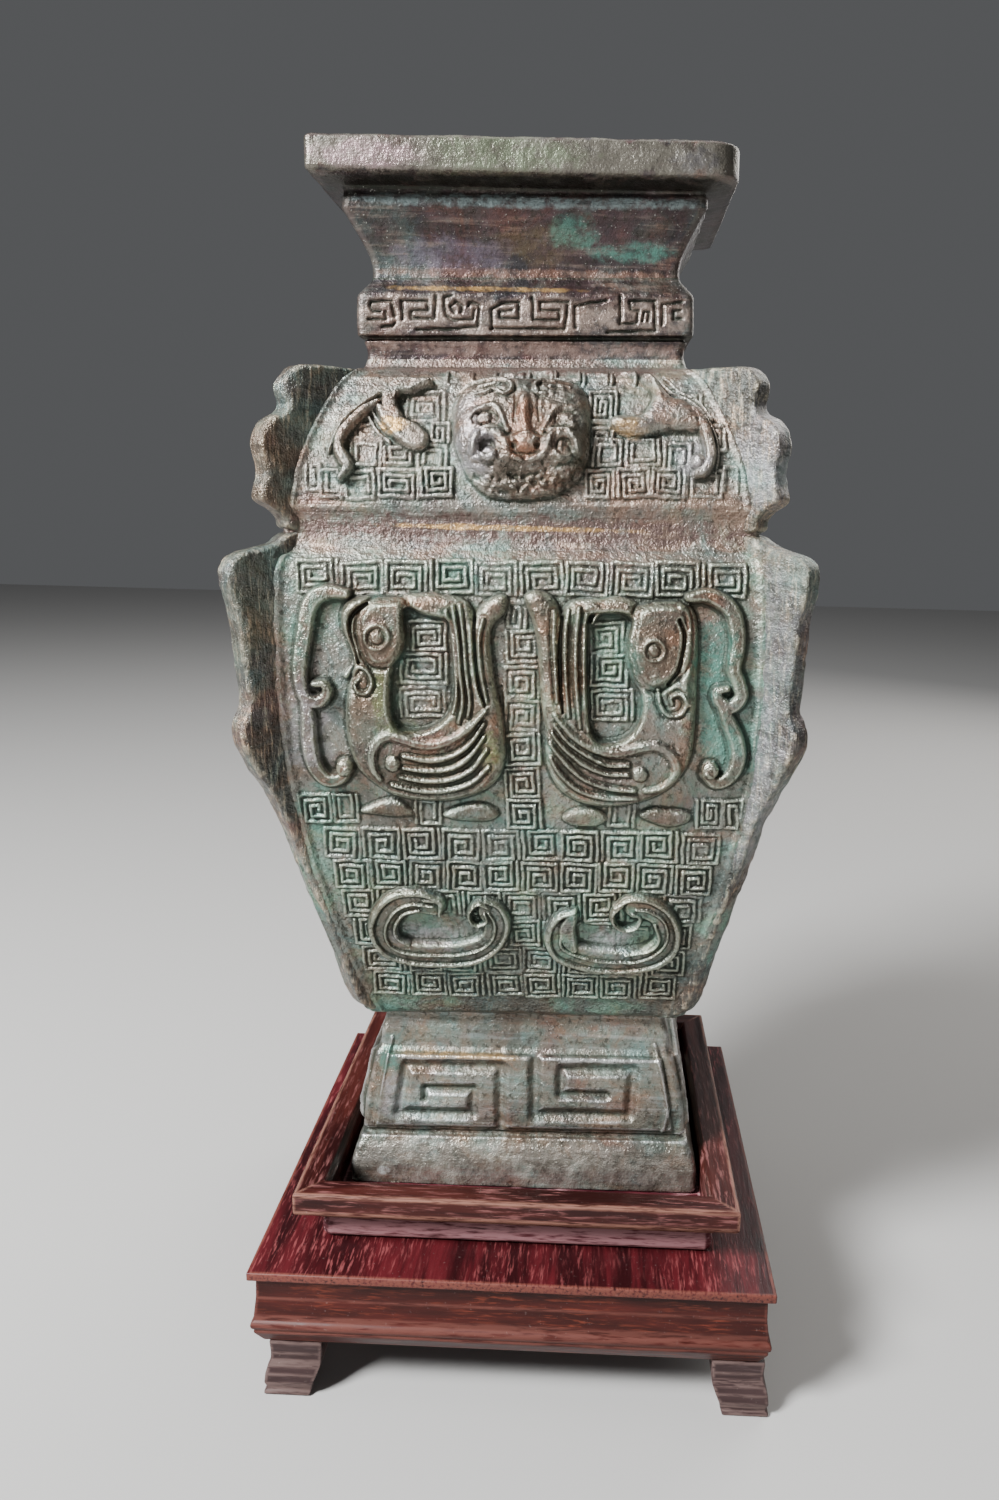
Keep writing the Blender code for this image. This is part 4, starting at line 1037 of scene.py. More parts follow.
BODY_STATIONS = [
    (57, 43.8, 0), (57.3, 46.5, 0), (58.2, 49.2, 0), (59.6, 50.9, 0), (62, 51.8, 0), (73, 55.8, 0),
    (84, 59.2, 0), (98, 62.9, 0), (113, 66.4, 0), (130, 69.4, 0), (148, 71.8, 0), (164, 72.7, 0),
    (183, 72.7, 0), (193, 72.4, 0), (201, 71.9, 0), (203.5, 71.2, 0), (205.5, 69.5, 0),
    (206.5, 68.65, 0),
]
LEFT_BIRD = {
    "body": [
        (-49.3, 189), (-48.2, 191.5), (-45.9, 193.2), (-42, 193.8), (-33.9, 194.1), (-25.6, 194.8),
        (-21.4, 194.5), (-17, 193.7), (-14.2, 192.4), (-12.9, 190.2), (-12.1, 187.5), (-11.2, 190),
        (-9.3, 192.2), (-6.5, 194.1), (-4, 194.4), (-2.9, 192.8), (-3.7, 189.8), (-6, 187.5),
        (-7.4, 185.3), (-7.9, 181.7), (-7.4, 176.1), (-6.3, 168.2), (-4.7, 161.1), (-3.9, 153.9),
        (-4, 147.4), (-5.8, 142.6), (-9, 139.2), (-14.5, 136.6), (-20.4, 135.3), (-27.3, 135.2),
        (-33.7, 136), (-38.8, 138.1), (-43, 141.4), (-46.2, 145), (-47.9, 149.8), (-48.9, 154.7),
        (-48.9, 161.4), (-48.4, 165.7), (-47.5, 169.5), (-46.2, 172.9), (-45.8, 176.3), (-46.6, 179.6),
        (-47.9, 182.4), (-49.2, 185.4),
    ],
    "loop": [
        (-31.2, 190), (-26.5, 188.7), (-21.5, 187.7), (-19.3, 186.6), (-18.8, 181.6), (-18.3, 175.2),
        (-18.2, 168.1), (-19.1, 163), (-22, 159.2), (-26.3, 156.8), (-31.1, 156.2), (-34.2, 157.3),
        (-35.8, 161.6), (-35.9, 167.9), (-34.9, 173.8), (-32.6, 177.2), (-31.1, 181.7),
    ],
    "head": [
        (-43.2, 189.6), (-40.3, 192.4), (-35.9, 193), (-31.7, 192.5), (-31.3, 187), (-31.7, 181.5),
        (-33.4, 177.5), (-36.9, 174.9), (-40.8, 175.2), (-43.2, 179.1), (-44.2, 183.5), (-44.1, 187.2),
    ],
    "leaf": [
        (-31.5, 191.4, 0.9), (-26.5, 191.7, 1.6), (-22.3, 190.4, 1.3), (-19, 187.1, 0.4),
    ],
    "dots": [
        (-38.9, 182.8, 3.3), (-35.7, 147, 2.3), (-50, 145.2, 2.4),
    ],
    "plume": [
        [(-47.9, 194.4, 1.2), (-52.3, 194.9, 1.5), (-56.3, 193.5, 1.7), (-58.6, 189.9, 1.7),
         (-59.7, 184.3, 1.7), (-60.8, 178.7, 1.7), (-61.6, 173.6, 1.6), (-61.5, 169.1, 1.5),
         (-60.2, 165.1, 1.5), (-56.8, 164, 1.4), (-54.2, 166.3, 1.3), (-54.9, 169.1, 1.1),
         (-57.8, 169.1, 0.9)],
        [(-60.2, 165.1, 1.3), (-59.9, 158.7, 1.6), (-60, 152.2, 1.7), (-58.9, 145.7, 1.7),
         (-55.8, 141.4, 1.6), (-51.7, 141.5, 1.4), (-49.1, 144.6, 1.3)],
    ],
    "bands": [
        [(-42, 193, 1), (-45.9, 191.3, 1.3), (-48, 188.5, 1.3), (-47.8, 184.9, 1.3),
         (-46.8, 181.6, 1.3), (-45.8, 177.4, 1.3), (-46.5, 174, 1.2), (-48.8, 171.4, 0.9)],
        [(-39.4, 142.4, 0.8), (-41.3, 145.4, 1.2), (-41.6, 149.9, 1.4), (-39.8, 153.1, 1.4),
         (-36.9, 154.9, 1.4), (-33.5, 154.4, 1.4), (-29.2, 153, 1.4), (-25, 152.4, 1.4),
         (-20.4, 153.4, 1.3), (-16.4, 155.5, 1.2), (-12.6, 158.7, 1), (-8.9, 162.8, 0.6)],
    ],
    "grooves": [
        [(-41.7, 191.9, 0.5), (-44.9, 189.9, 0.6), (-46.6, 186.9, 0.6), (-46.5, 183, 0.6),
         (-45.5, 179.1, 0.6), (-44.7, 175.4, 0.5)],
        [(-12.1, 188.3, 0.6), (-12.1, 181.7, 0.6), (-11.6, 174.4, 0.6), (-10.6, 168.2, 0.5),
         (-9.2, 163.7, 0.4)],
    ],
    "claws": [
        [(-46.4, 131.1), (-42.1, 133.7), (-37.4, 135), (-34, 133.8), (-30.9, 130.4), (-36.2, 129.7),
         (-41.8, 130.3)],
        [(-22.1, 130.6), (-17.7, 132.9), (-12.7, 133.9), (-8.4, 133), (-6.1, 130.9), (-9, 128.9),
         (-15.8, 128.8), (-20.1, 129.4)],
    ],
    "fine": [
        [(-32.5, 149.1, 0.6), (-25.1, 148, 0.7), (-18.8, 149.3, 0.7), (-13.6, 152.9, 0.7),
         (-9.5, 159, 0.5)],
        [(-32.6, 145.8, 0.6), (-26.4, 145, 0.7), (-19.4, 145.7, 0.7), (-13.9, 149.1, 0.7),
         (-9.6, 155, 0.5)],
        [(-33.6, 143.1, 0.6), (-26.8, 141.9, 0.7), (-19.6, 142.4, 0.7), (-13.4, 145.5, 0.7),
         (-8.8, 151.2, 0.5)],
        [(-36.1, 140.6, 0.6), (-28.3, 138.9, 0.7), (-20.8, 139, 0.7), (-13.5, 141.5, 0.7),
         (-8.3, 146.5, 0.5)],
        [(-19.8, 189.9, 0.5), (-18.5, 182.1, 0.5), (-17.8, 173.8, 0.5), (-17.3, 166.7, 0.5),
         (-18.3, 161.8, 0.4)],
        [(-17.9, 191.3, 0.5), (-16.6, 182.2, 0.5), (-16.1, 173.8, 0.5), (-15.4, 165.3, 0.5),
         (-16.6, 159, 0.4)],
        [(-15.9, 191.6, 0.5), (-14.9, 182.2, 0.5), (-14.4, 173.8, 0.5), (-13.4, 165.3, 0.5),
         (-14, 160.7, 0.4)],
        [(-9.6, 187.8, 0.6), (-10.7, 182.2, 0.5), (-10.2, 173.8, 0.5), (-8.6, 164.8, 0.4)],
        [(-46.5, 172, 0.5), (-44.5, 174.3, 0.6), (-42, 173.2, 0.6), (-40.9, 170.1, 0.6),
         (-42.2, 167.2, 0.6), (-44.7, 167.2, 0.6), (-45.8, 169.5, 0.5), (-44.3, 171.2, 0.4)],
    ],
}
RIGHT_BIRD = {
    "body": [
        (1.8, 194.2), (4.3, 195.8), (7.8, 195.1), (10.3, 192.9), (12, 189.1), (13.1, 191.3),
        (15.6, 193), (20, 193.8), (23.3, 193.6), (26.8, 194.4), (30.9, 193.6), (33.7, 192.3),
        (39.2, 193.4), (44.6, 193.2), (48, 191.1), (49.5, 187), (50, 180.1), (49.9, 171.7),
        (49.9, 163.3), (49.7, 154.6), (48.8, 148.8), (46.7, 144.3), (43.1, 140), (38.1, 136.8),
        (32.1, 134.9), (25, 134.1), (18.9, 135), (14, 137.4), (10.6, 141), (8.6, 145.8), (8, 151.1),
        (7.7, 157), (6.6, 165.6), (6, 174), (5.4, 181), (4.3, 186.5), (2.9, 190.6),
    ],
    "loop": [
        (20, 188.3), (24.1, 189.2), (28.8, 189.3), (31, 187.6), (30, 182.7), (30.1, 176.5),
        (31.9, 171.5), (34.2, 167.9), (34.6, 163.1), (33.3, 158.5), (30, 154.9), (24.9, 153.7),
        (22.1, 154.8), (20.4, 158.6), (19.7, 165.7), (19.6, 177), (19.5, 183.9),
    ],
    "head": [
        (33.7, 191.5), (39.2, 192.9), (45.2, 192.1), (47.2, 188.3), (47.5, 180.1), (46.2, 175),
        (43, 171.7), (38.6, 169.1), (35, 170.4), (32.4, 174.9), (31.4, 181.3), (32.2, 187.1),
    ],
    "leaf": [
        (20.6, 187, 0.5), (22.5, 190, 1.1), (26.3, 191.7, 1.3), (30.4, 191.5, 1.1), (32.9, 189.3, 0.5),
    ],
    "dots": [
        (37.8, 180, 2.9), (34.7, 145, 2.3), (54.7, 145.8, 2.4),
    ],
    "plume": [
        [(47.5, 194.2, 1.2), (51.8, 194.8, 1.5), (56.3, 193.2, 1.7), (59.4, 190, 1.7), (60.7, 185, 1.7),
         (60.9, 180, 1.6), (60.2, 175, 1.5), (61.5, 171.1, 1.5), (62.5, 166.9, 1.5), (59.8, 164, 1.5),
         (56.7, 165.4, 1.4), (56, 168.2, 1.1), (58.5, 169.1, 0.9)],
        [(57.3, 164.5, 1.3), (59.1, 160.2, 1.6), (61.6, 154.5, 1.7), (62.4, 148.7, 1.7),
         (60.4, 143.8, 1.6), (56.6, 141.9, 1.5), (53.6, 144.3, 1.3)],
    ],
    "bands": [
        [(44.7, 192.1, 0.8), (47.5, 190.3, 1.3), (48.4, 185.1, 1.3), (47.8, 179.5, 1.3),
         (46.8, 173.9, 1.3), (46.4, 168.9, 1.2), (48.2, 164.9, 0.9)],
        [(36.3, 139.9, 0.8), (41.1, 140.9, 1.2), (44.4, 143.9, 1.4), (44.8, 147.9, 1.4),
         (42.5, 151.3, 1.4), (38.8, 153, 1.4), (34.6, 152.4, 1.4), (28.9, 150.9, 1.4),
         (23.3, 151.4, 1.3), (17.6, 153.9, 1.2), (13.6, 157.6, 1), (10.5, 161.9, 0.6)],
    ],
    "grooves": [
        [(44.5, 188.3, 0.5), (46, 184.5, 0.6), (45.6, 178.9, 0.6), (44.3, 173.9, 0.6),
         (41.9, 170.5, 0.5)],
        [(12.3, 188.5, 0.6), (11.8, 181.9, 0.6), (11.8, 174.7, 0.6), (12.1, 168.5, 0.5),
         (12.7, 162.2, 0.4)],
    ],
    "claws": [
        [(12.8, 130.2), (16.3, 132.5), (20.6, 132.9), (23.5, 132), (25.6, 129.8), (22.4, 127.8),
         (17.8, 127.7), (14.3, 128.3)],
        [(35.1, 131.2), (38.5, 133.2), (43.2, 132.9), (47.2, 132.7), (49.8, 131.2), (48.2, 128.9),
         (43.3, 127.9), (38.7, 129.1)],
    ],
    "fine": [
        [(31.3, 147.4, 0.6), (25, 147.6, 0.7), (18.8, 150.4, 0.7), (13.9, 154.1, 0.7),
         (10.5, 158.7, 0.5)],
        [(31.3, 144.6, 0.6), (25.1, 144.9, 0.7), (18.8, 147.5, 0.7), (13.4, 151.8, 0.7),
         (9.7, 156.4, 0.5)],
        [(33.2, 139.8, 0.6), (25.7, 140.6, 0.7), (18.8, 143.2, 0.7), (13.1, 148.3, 0.7),
         (9.1, 153.2, 0.5)],
        [(33.8, 137.4, 0.6), (25.2, 137.5, 0.7), (17.7, 139.6, 0.7), (12.3, 144.4, 0.7),
         (9.1, 149.1, 0.5)],
        [(13.9, 190.8, 0.6), (13.2, 182.5, 0.6), (13.5, 171.3, 0.5), (14.4, 161.1, 0.4)],
        [(17, 191.3, 0.6), (16.2, 182.5, 0.6), (16.3, 171.3, 0.6), (17.6, 158, 0.4)],
        [(19.2, 189.2, 0.5), (18.7, 179.8, 0.5), (18.9, 168.5, 0.5), (20.1, 157.1, 0.4)],
        [(10.3, 190.2, 0.6), (10.1, 182.4, 0.6), (10.7, 171.3, 0.5), (11.1, 165.1, 0.4)],
        [(39.2, 168.8, 0.5), (39.9, 164.8, 0.6), (42.2, 162, 0.6), (45.5, 162.3, 0.6),
         (47.1, 165.2, 0.6), (45.3, 167.7, 0.6), (42.9, 166.9, 0.5), (43.2, 164.9, 0.4)],
    ],
}
VOLUTE_LEFT = [
    [(-24.1, 102.7, 1), (-30.3, 105, 1.3), (-37.7, 104.2, 1.4), (-43.1, 99.6, 1.4), (-45.8, 92.7, 1.4),
     (-44.2, 86.2, 1.4), (-39.2, 81.9, 1.4), (-28.7, 79.9, 1.3), (-16.8, 80.5, 1.3), (-9.5, 84.1, 1.3),
     (-5.3, 89.7, 1.3), (-4.2, 96.1, 1.3), (-6.6, 101, 1.1), (-10.4, 103, 0.9)],
    [(-26.3, 100.9, 0.7), (-33, 101.5, 0.8), (-38, 99, 0.8), (-41.1, 93.9, 0.8), (-41.2, 88.5, 0.8),
     (-37.7, 84.9, 0.8), (-30, 83.6, 0.8), (-19.8, 83.8, 0.8), (-12.8, 85.8, 0.8), (-8.7, 89.9, 0.8),
     (-7.9, 95.3, 0.8), (-9.6, 99.2, 0.6)],
    [(-30.6, 99.5, 0.8), (-35.6, 98, 1), (-38.4, 93.6, 1), (-38, 89.7, 0.9), (-34.5, 87.2, 0.8)],
    [(-9.3, 100.6, 0.9), (-12.6, 101.9, 0.9), (-15.1, 99.8, 0.8), (-15.5, 96.6, 0.8),
     (-13.2, 94.5, 0.8), (-10.3, 96, 0.7), (-10.9, 98.8, 0.6)],
    [(-29.2, 103, 0.9), (-24.4, 102.4, 1.5), (-24.6, 97.8, 0.7)],
]
VOLUTE_RIGHT = [
    [(16.4, 99.7, 0.9), (11.6, 97.5, 1.2), (8.5, 92.1, 1.4), (9.1, 86, 1.4), (12.8, 82, 1.4),
     (21.8, 79.2, 1.3), (32, 78.7, 1.3), (41.3, 80.8, 1.4), (46.6, 85.7, 1.4), (47.5, 93, 1.4),
     (44.8, 99.6, 1.3), (39.2, 103.7, 1.3), (32.9, 104.2, 1.1), (28.5, 101.4, 0.9)],
    [(12.5, 92.9, 0.7), (12.2, 87.9, 0.8), (15.6, 85, 0.8), (24.2, 82.6, 0.8), (35, 82.5, 0.8),
     (41.4, 85.6, 0.8), (44.5, 90.7, 0.8), (43.4, 97.1, 0.8), (39, 100.5, 0.8), (34.8, 101.2, 0.6)],
    [(40.7, 95.7, 0.8), (42.1, 90.7, 0.8), (39.5, 86.7, 0.8), (31.9, 84.7, 0.8)],
    [(30.6, 102.4, 0.8), (27.9, 99.3, 0.9), (28.3, 95.8, 0.9), (31.4, 93.7, 0.8), (35, 94.8, 0.8),
     (36.1, 98.1, 0.7), (33.6, 99.7, 0.6)],
    [(15.5, 98, 2), (14, 93.7, 2.6), (14.6, 89.4, 2.4), (16.2, 86.5, 1.6)],
]
VOLUTE_HALF_WIDTH = 4.0
BODY_SPIRAL_LINES = (1.55, 0.46)
SIDE_SPIRAL_LINES = (1.95, 0.60)
COVE_WIDTH = 2.4
VOLUTE_BASINS = [
    [(-37.1, 97.2), (-27.8, 98.1), (-17.1, 96.9), (-11.2, 93.1), (-10.4, 88.4), (-16.1, 85.3),
     (-28.6, 84.7), (-36.8, 86.7)],
    [(17.3, 94.8), (27.1, 93.5), (36.3, 93), (40.9, 90.6), (39, 85.1), (27.3, 83), (18, 85.7)],
]


def row_of_cells(z, tall, left, right, count):
    """Cells of the spiral ground side by side at one height: their centres and half-sizes."""
    pitch = (right - left) / count
    return [(left + pitch * (i + 0.5), z, pitch / 2 - 0.65, tall) for i in range(count)]


BODY_CELLS = [
    *row_of_cells(199.0, 4.3, -62.5, 63.0, 10), *row_of_cells(120.6, 4.6, -58.5, 59.0, 10),
    *row_of_cells(110.3, 4.5, -56.5, 57.0, 10), *row_of_cells(100.2, 4.4, -54.5, 55.0, 9),
    *row_of_cells(90.4, 4.2, -52.0, 52.5, 9), *row_of_cells(80.6, 4.3, -50.0, 50.5, 8),
    *row_of_cells(71.0, 4.2, -47.5, 48.0, 8),
    *[(1.2, z, 4.8, 4.3) for z in (131.0, 140.8, 150.6, 160.4, 170.2, 180.0)],
    (-0.2, 189.2, 2.4, 3.4), (-25.6, 182.9, 5.4, 4.0), (-26.6, 173.6, 6.4, 4.1),
    (-27.2, 164.2, 6.4, 4.1), (24.9, 183.2, 4.6, 4.1), (25.2, 173.8, 5.0, 4.2), (26.8, 164.0, 5.8, 4.2),
    (-60, 131.5, 4.6, 4.2), (-51, 131.5, 3.4, 4.2), (-26.5, 131.5, 3.6, 4.2), (30, 131.5, 3.6, 4.2),
    (55, 131.5, 3.6, 4.2), (62, 131.5, 2.6, 4.2),
]


def bird(u, z, shape):
    """One bird in relief: curled plume, body with a loop cut in it, head, wing, crest and claws."""
    figure = raise_strokes(raised(u, z, shape["body"], 3.9, 3.2), u, z, shape["plume"], 3.1, 1.6)
    figure *= 1.0 - rise(depth_in(u, z, shape["loop"]), -1.3, 0.5)
    head = depth_in(u, z, shape["head"])
    groove_round_head = 0.9 * np.exp(-(((head + 0.9) / 0.6) ** 2)) * (figure > 1.0)
    figure = figure + 1.2 * rise(head, 0.0, 1.8) - groove_round_head
    figure = add_strokes(figure, u, z, shape["bands"], 1.2, 1.2)
    figure = add_strokes(figure, u, z, shape["grooves"], -1.7)
    figure = add_strokes(figure, u, z, shape["fine"], 1.25, 1.35)
    figure = add_strokes(figure, u, z, shape["fine"], -0.60, 3.0)
    figure = raise_strokes(figure, u, z, [shape["leaf"]], 3.0)
    for outline in shape["claws"]:
        figure = np.maximum(figure, raised(u, z, outline, 1.9, 2.2))
    eye, *bosses = shape["dots"]
    figure = figure + 0.8 * ring_boss(u, z, *eye)
    for boss in bosses:
        lump = button(u, z, *boss)
        figure = np.where(lump > 0, np.maximum(figure, 2.6) + 1.3 * lump, figure)
    return np.maximum(figure, 0.0)


def worn_ground(u, z, squeeze, figure, cells, height, lines, *waves):
    """The spiral ground of one face, unevenly worn and left out under the figures."""
    lines = lines if squeeze == 1.0 else SIDE_SPIRAL_LINES
    ground = spiral_ground(u / squeeze, z, cells, height, *lines)
    return ground * (0.72 + uneven(u, z, *waves)) * (1.0 - rise(figure, 0.05, 0.6))


def cove(u, reach, start, height):
    """The hollow in which the wall sweeps up to the flanges' sides."""
    return height * (1.0 - rise(reach - start - np.abs(u), 0.0, COVE_WIDTH)) ** 2


def body_relief(u, z, squeeze, reach):
    """All that is cast on one face of the body."""
    x = u / squeeze
    figure = np.maximum(bird(x, z, LEFT_BIRD), bird(x, z, RIGHT_BIRD))
    for volute in (VOLUTE_LEFT, VOLUTE_RIGHT):
        band = [(a, b, VOLUTE_HALF_WIDTH) for a, b, _ in volute[1]]
        figure = raise_strokes(figure, x, z, [band], 2.5)
        figure = raise_strokes(figure, x, z, volute, 3.4, 1.15)
    waves = (0.22, 13.0, 11), (0.18, 1.7, 12)
    ground = worn_ground(u, z, squeeze, figure, BODY_CELLS, 1.05, BODY_SPIRAL_LINES, *waves)
    for basin in VOLUTE_BASINS:
        ground *= 1.0 - 0.8 * rise(depth_in(x, z, basin), 0.0, 0.8)
    inside = 1.0 - rise(np.abs(u), reach - 5.6, reach - 4.9)
    field = np.maximum(figure, ground * inside) + cove(u, reach, 4.95, 0.9)
    return field + uneven(u, z, (0.12, 9.0, 5), (0.07, 2.2, 6), (0.05, 0.9, 8))


body_bronze = bronze(
    "body_bronze", (0.186, 0.144, 0.108), (0.212, 0.206, 0.176), PALE_VERDIGRIS,
    (0.460, 0.510, 0.400), 0.62, 0.42,
    patches=[
        *[((x, -57, z), (7.5, 9, 2.6), CLAW_BROWN, 0.8)
          for x, z in ((-35, 131.3), (-12.3, 131), (18, 130.3), (41.7, 130.3))],
        ((-38, -58, 181.7), (7, 9, 7.5), HEAD_BROWN, 0.9),
        ((37.4, -58, 178), (7.5, 9, 8), HEAD_BROWN, 0.9),
        ((-39, -57.5, 166), (2.4, 9, 9), LIME, 0.42),
        ((-33, -57.5, 157), (6, 9, 2), LIME, 0.30),
        ((30.5, -58, 178), (5, 9, 7), TURQUOISE, 0.5),
        ((55, -57, 178), (7, 9, 12), TURQUOISE, 0.85),
        ((57, -56.5, 154), (5, 9, 9), TURQUOISE, 0.7),
        ((-62, -57, 180), (4, 9, 9), TURQUOISE, 0.5),
        ((-57, -55, 132), (11, 11, 11), TURQUOISE, 0.5),
        ((-43, -53, 112), (10, 10, 10), TURQUOISE, 0.3),
        ((0, -57, 205.5), (70, 9, 2), COPPER, 0.4),
        ((-8, -58, 150), (3, 9, 7), LIME, 0.45),
        ((-60, -56, 158), (7, 9, 16), LAVENDER_AND_LIGHT, 0.55),
        ((-27, -50, 90), (12, 9, 5), LAVENDER_AND_LIGHT, 0.55),
        ((27, -50, 88), (12, 9, 4.5), LAVENDER_AND_LIGHT, 0.55),
    ],
    # Painted shade towards the body's bottom.
    low_share=0.55,
)
for number, (side, count, spacing, cuts) in enumerate((
    ("front", 520, 0.27, (92.0, 127.0, 167.0)), ("right", 190, 0.58, ()), ("back", 240, 0.58, ()),
    ("left", 190, 0.58, ()),
)):
    body_rows = profile_rows(BODY_STATIONS, spacing, 0.40)
    sheet = face_columns([count if face == number else 0 for face in range(4)], 1)
    heights = relief_of(body_rows, sheet, body_relief)
    heights *= rise(body_rows[:, :1], 57.0, 60.0) * (1.0 - rise(body_rows[:, :1], 204.0, 206.3))
    wall_piece(f"vase_body_{side}", body_rows, sheet, heights, False, body_bronze, cuts=cuts)

# Corner flanges: hooked plates cast across the vase's corners, one along the body and one along the
# shoulder of each corner. Their edges are rounded, and painted pale as rubbed metal and highlight.

FLANGE_HALF_THICKNESS = 3.5
FLANGE_ROUND = 1.3
FLANGE_ROOT = 6.5
BODY_FLANGE = [
    (47, 59.3), (50.3, 60.1), (52.4, 62.2), (54.2, 66), (56, 73), (58.6, 84), (62.3, 98), (66.5, 114),
    (70.2, 129), (72, 134.5), (73.8, 139), (75.5, 143), (77.3, 147.5), (78.7, 151.5), (79.2, 155),
    (79, 157.8), (78.2, 160.2), (77.1, 163.5), (77.2, 168), (77.6, 173), (78, 179), (78.3, 184.5),
    (78.8, 190), (79.7, 194), (80.2, 198.5), (80.1, 201.5), (79.3, 204), (77, 205.8), (73, 207),
    (69.5, 208.4), (67.8, 210), (64.5, 211.5),
]
SHOULDER_FLANGE = [
    (64.5, 211.2), (67.2, 212.6), (67.2, 214.3), (67.9, 216), (69.6, 217.7), (71.8, 219.6), (72.4, 221),
    (71.8, 223.5), (71.2, 226.5), (71.2, 230), (71.8, 233), (71.9, 236.5), (71, 239.5), (69.5, 241.7),
    (67, 243), (65.8, 245), (66.2, 248), (66.6, 251), (65.5, 253.5), (64, 255.5), (61.5, 256.5),
    (55, 256.7), (48.5, 256.7),
]
OUTSIDE_WALL = np.array([(z, w) for z, w, _ in BODY_STATIONS] + [
    (210, 67.1), (215, 67.1), (218.5, 68.4), (227, 67.2), (238, 63.6), (247, 59.4), (253, 56.0),
    (257, 49.0), (262, 46.0),
], float)


def flange_piece(name, outline, sx, sy):
    """One plate: rounded tip, two flat sides, its inner rows buried in the wall."""
    line = smooth_line([(x, z, 0.0) for x, z in outline], 8)[:, :2]
    run = np.r_[0.0, np.cumsum(np.hypot(*np.diff(line, axis=0).T))]
    even = np.arange(0.0, run[-1], 0.75)
    edge = np.column_stack([np.interp(even, run, line[:, i]) for i in range(2)])
    edge = spread(edge, 0.8, 0)
    along = np.gradient(edge, axis=0)
    along /= np.hypot(along[:, 0], along[:, 1])[:, None]
    inward = np.column_stack([-along[:, 1], along[:, 0]])
    high = edge[:, 1]
    root_z = np.clip(high, OUTSIDE_WALL[0, 0], OUTSIDE_WALL[-1, 0])
    root = np.column_stack([np.interp(high, *OUTSIDE_WALL.T) - FLANGE_ROOT, root_z])
    root[:, 0] = np.minimum(root[:, 0], edge[:, 0] - 1.5)
    flat = edge + FLANGE_ROUND * inward
    columns = [(root + (flat - root) * share, -FLANGE_HALF_THICKNESS) for share in np.linspace(0, 1, 12)]
    for angle in (20, 45, 70):
        turned = math.radians(angle)
        side = FLANGE_HALF_THICKNESS - FLANGE_ROUND * (1 - math.cos(turned))
        columns.append((edge + FLANGE_ROUND * (1 - math.sin(turned)) * inward, -side))
    reach = FLANGE_HALF_THICKNESS - FLANGE_ROUND
    columns += [(edge, share * reach) for share in np.linspace(-1, 1, 6)]
    columns += [(place, -side) for place, side in reversed(columns[:15])]
    grid = np.zeros((len(edge), len(columns), 3))
    sideways = np.array([-sy, sx, 0.0]) / math.sqrt(2)
    for i, (place, side) in enumerate(columns):
        x, z = place.T
        grid[:, i] = np.column_stack([sx * x, sy * (x - DEPTH_LESS), z]) + side * sideways
    normals = np.cross(np.gradient(grid, axis=1), np.gradient(grid, axis=0))
    normals /= np.maximum(np.linalg.norm(normals, axis=-1), 1e-9)[..., None]
    seed = 20 + 2 * sx + sy
    along_plate = grid[..., 0] + grid[..., 1] * 0.3
    rough = uneven(along_plate, grid[..., 2], (0.26, 5.0, seed), (0.18, 1.9, seed + 9))
    grid += normals * rough[..., None]
    surface_piece(name, grid, normals, np.zeros(rough.shape), False, flange_bronze)


flange_bronze = bronze(
    "flange_bronze", (0.132, 0.116, 0.100), (0.116, 0.120, 0.108), (0.120, 0.165, 0.130), WORN_GOLD_AND_HIGHLIGHT,
    0.6, 0.45, bump=1.0, brushed=0.42, brush_stretch=(24.0, 24.0, 3.0),
    patches=[
        # Painted light: paler lavender patches on the right flanges, whose faces turn to the lamp.
        ((74, -56, 180), (9, 14, 26), (0.165, 0.158, 0.168), 0.60),
        ((70, -52, 138), (9, 14, 30), LAVENDER_AND_LIGHT, 0.40),
        ((68, -52, 232), (8, 14, 16), LAVENDER_AND_LIGHT, 0.45),
        # Painted shade: darker brown and olive patches on the left flanges.
        ((-72, -54, 226), (9, 12, 22), (0.120, 0.088, 0.062), 0.60),
        ((-76, -58, 190), (9, 12, 24), (0.085, 0.080, 0.052), 0.35),
    ],
)
for corner, side_x, side_y in CORNERS:
    flange_piece(f"body_flange_{corner}", BODY_FLANGE, side_x, side_y)
    flange_piece(f"shoulder_flange_{corner}", SHOULDER_FLANGE, side_x, side_y)

# Vase shoulder: above a plain waist the casting slopes in to the neck, with a beast's mask in high
# relief in the middle of each face and a dragon on each side of it.

SHOULDER_STATIONS = [
    (206.5, 68.65, 1.5), (207.5, 67.8, 1.6), (210, 67.1, 2), (212.5, 67, 2.2), (215, 67.1, 2.4),
    (217.2, 68.1, 2.6), (218.8, 68.5, 2.8), (221, 68.2, 3), (227, 67.2, 3), (232.5, 65.7, 3),
    (238, 63.6, 3), (242, 61.9, 3), (247, 59.4, 3), (251, 57.3, 3), (254, 55, 3), (256, 52, 2.8),
    (257, 49, 2.4), (257.6, 46.8, 2.2), (260, 46, 2.2),
]
DRAGONS = [
    [(-26.1, 251.5, 1), (-30.5, 250.6, 1.8), (-34.6, 250.1, 2), (-36.7, 247.2, 2.1), (-36.2, 244.2, 2),
     (-34.4, 242, 1.6)],
    [(-39.3, 244.2, 1.2), (-36.6, 241.4, 2), (-33.4, 239, 2.7), (-30.3, 237.1, 3), (-28.3, 236, 2.6)],
    [(-39.7, 245.8, 0.9), (-43.7, 243.6, 1.3), (-47.1, 240.5, 1.4), (-49.5, 237.3, 1.5),
     (-50.1, 233.7, 1.5), (-48.7, 231, 1.6), (-47.5, 228.6, 1.5), (-49.4, 225.9, 1)],
    [(47.8, 243.7, 1.5), (50.3, 240.4, 1.6), (51.9, 236.1, 1.6), (52.5, 231.8, 1.6), (51.1, 228.4, 1.5),
     (48.7, 227.3, 1.2)],
]
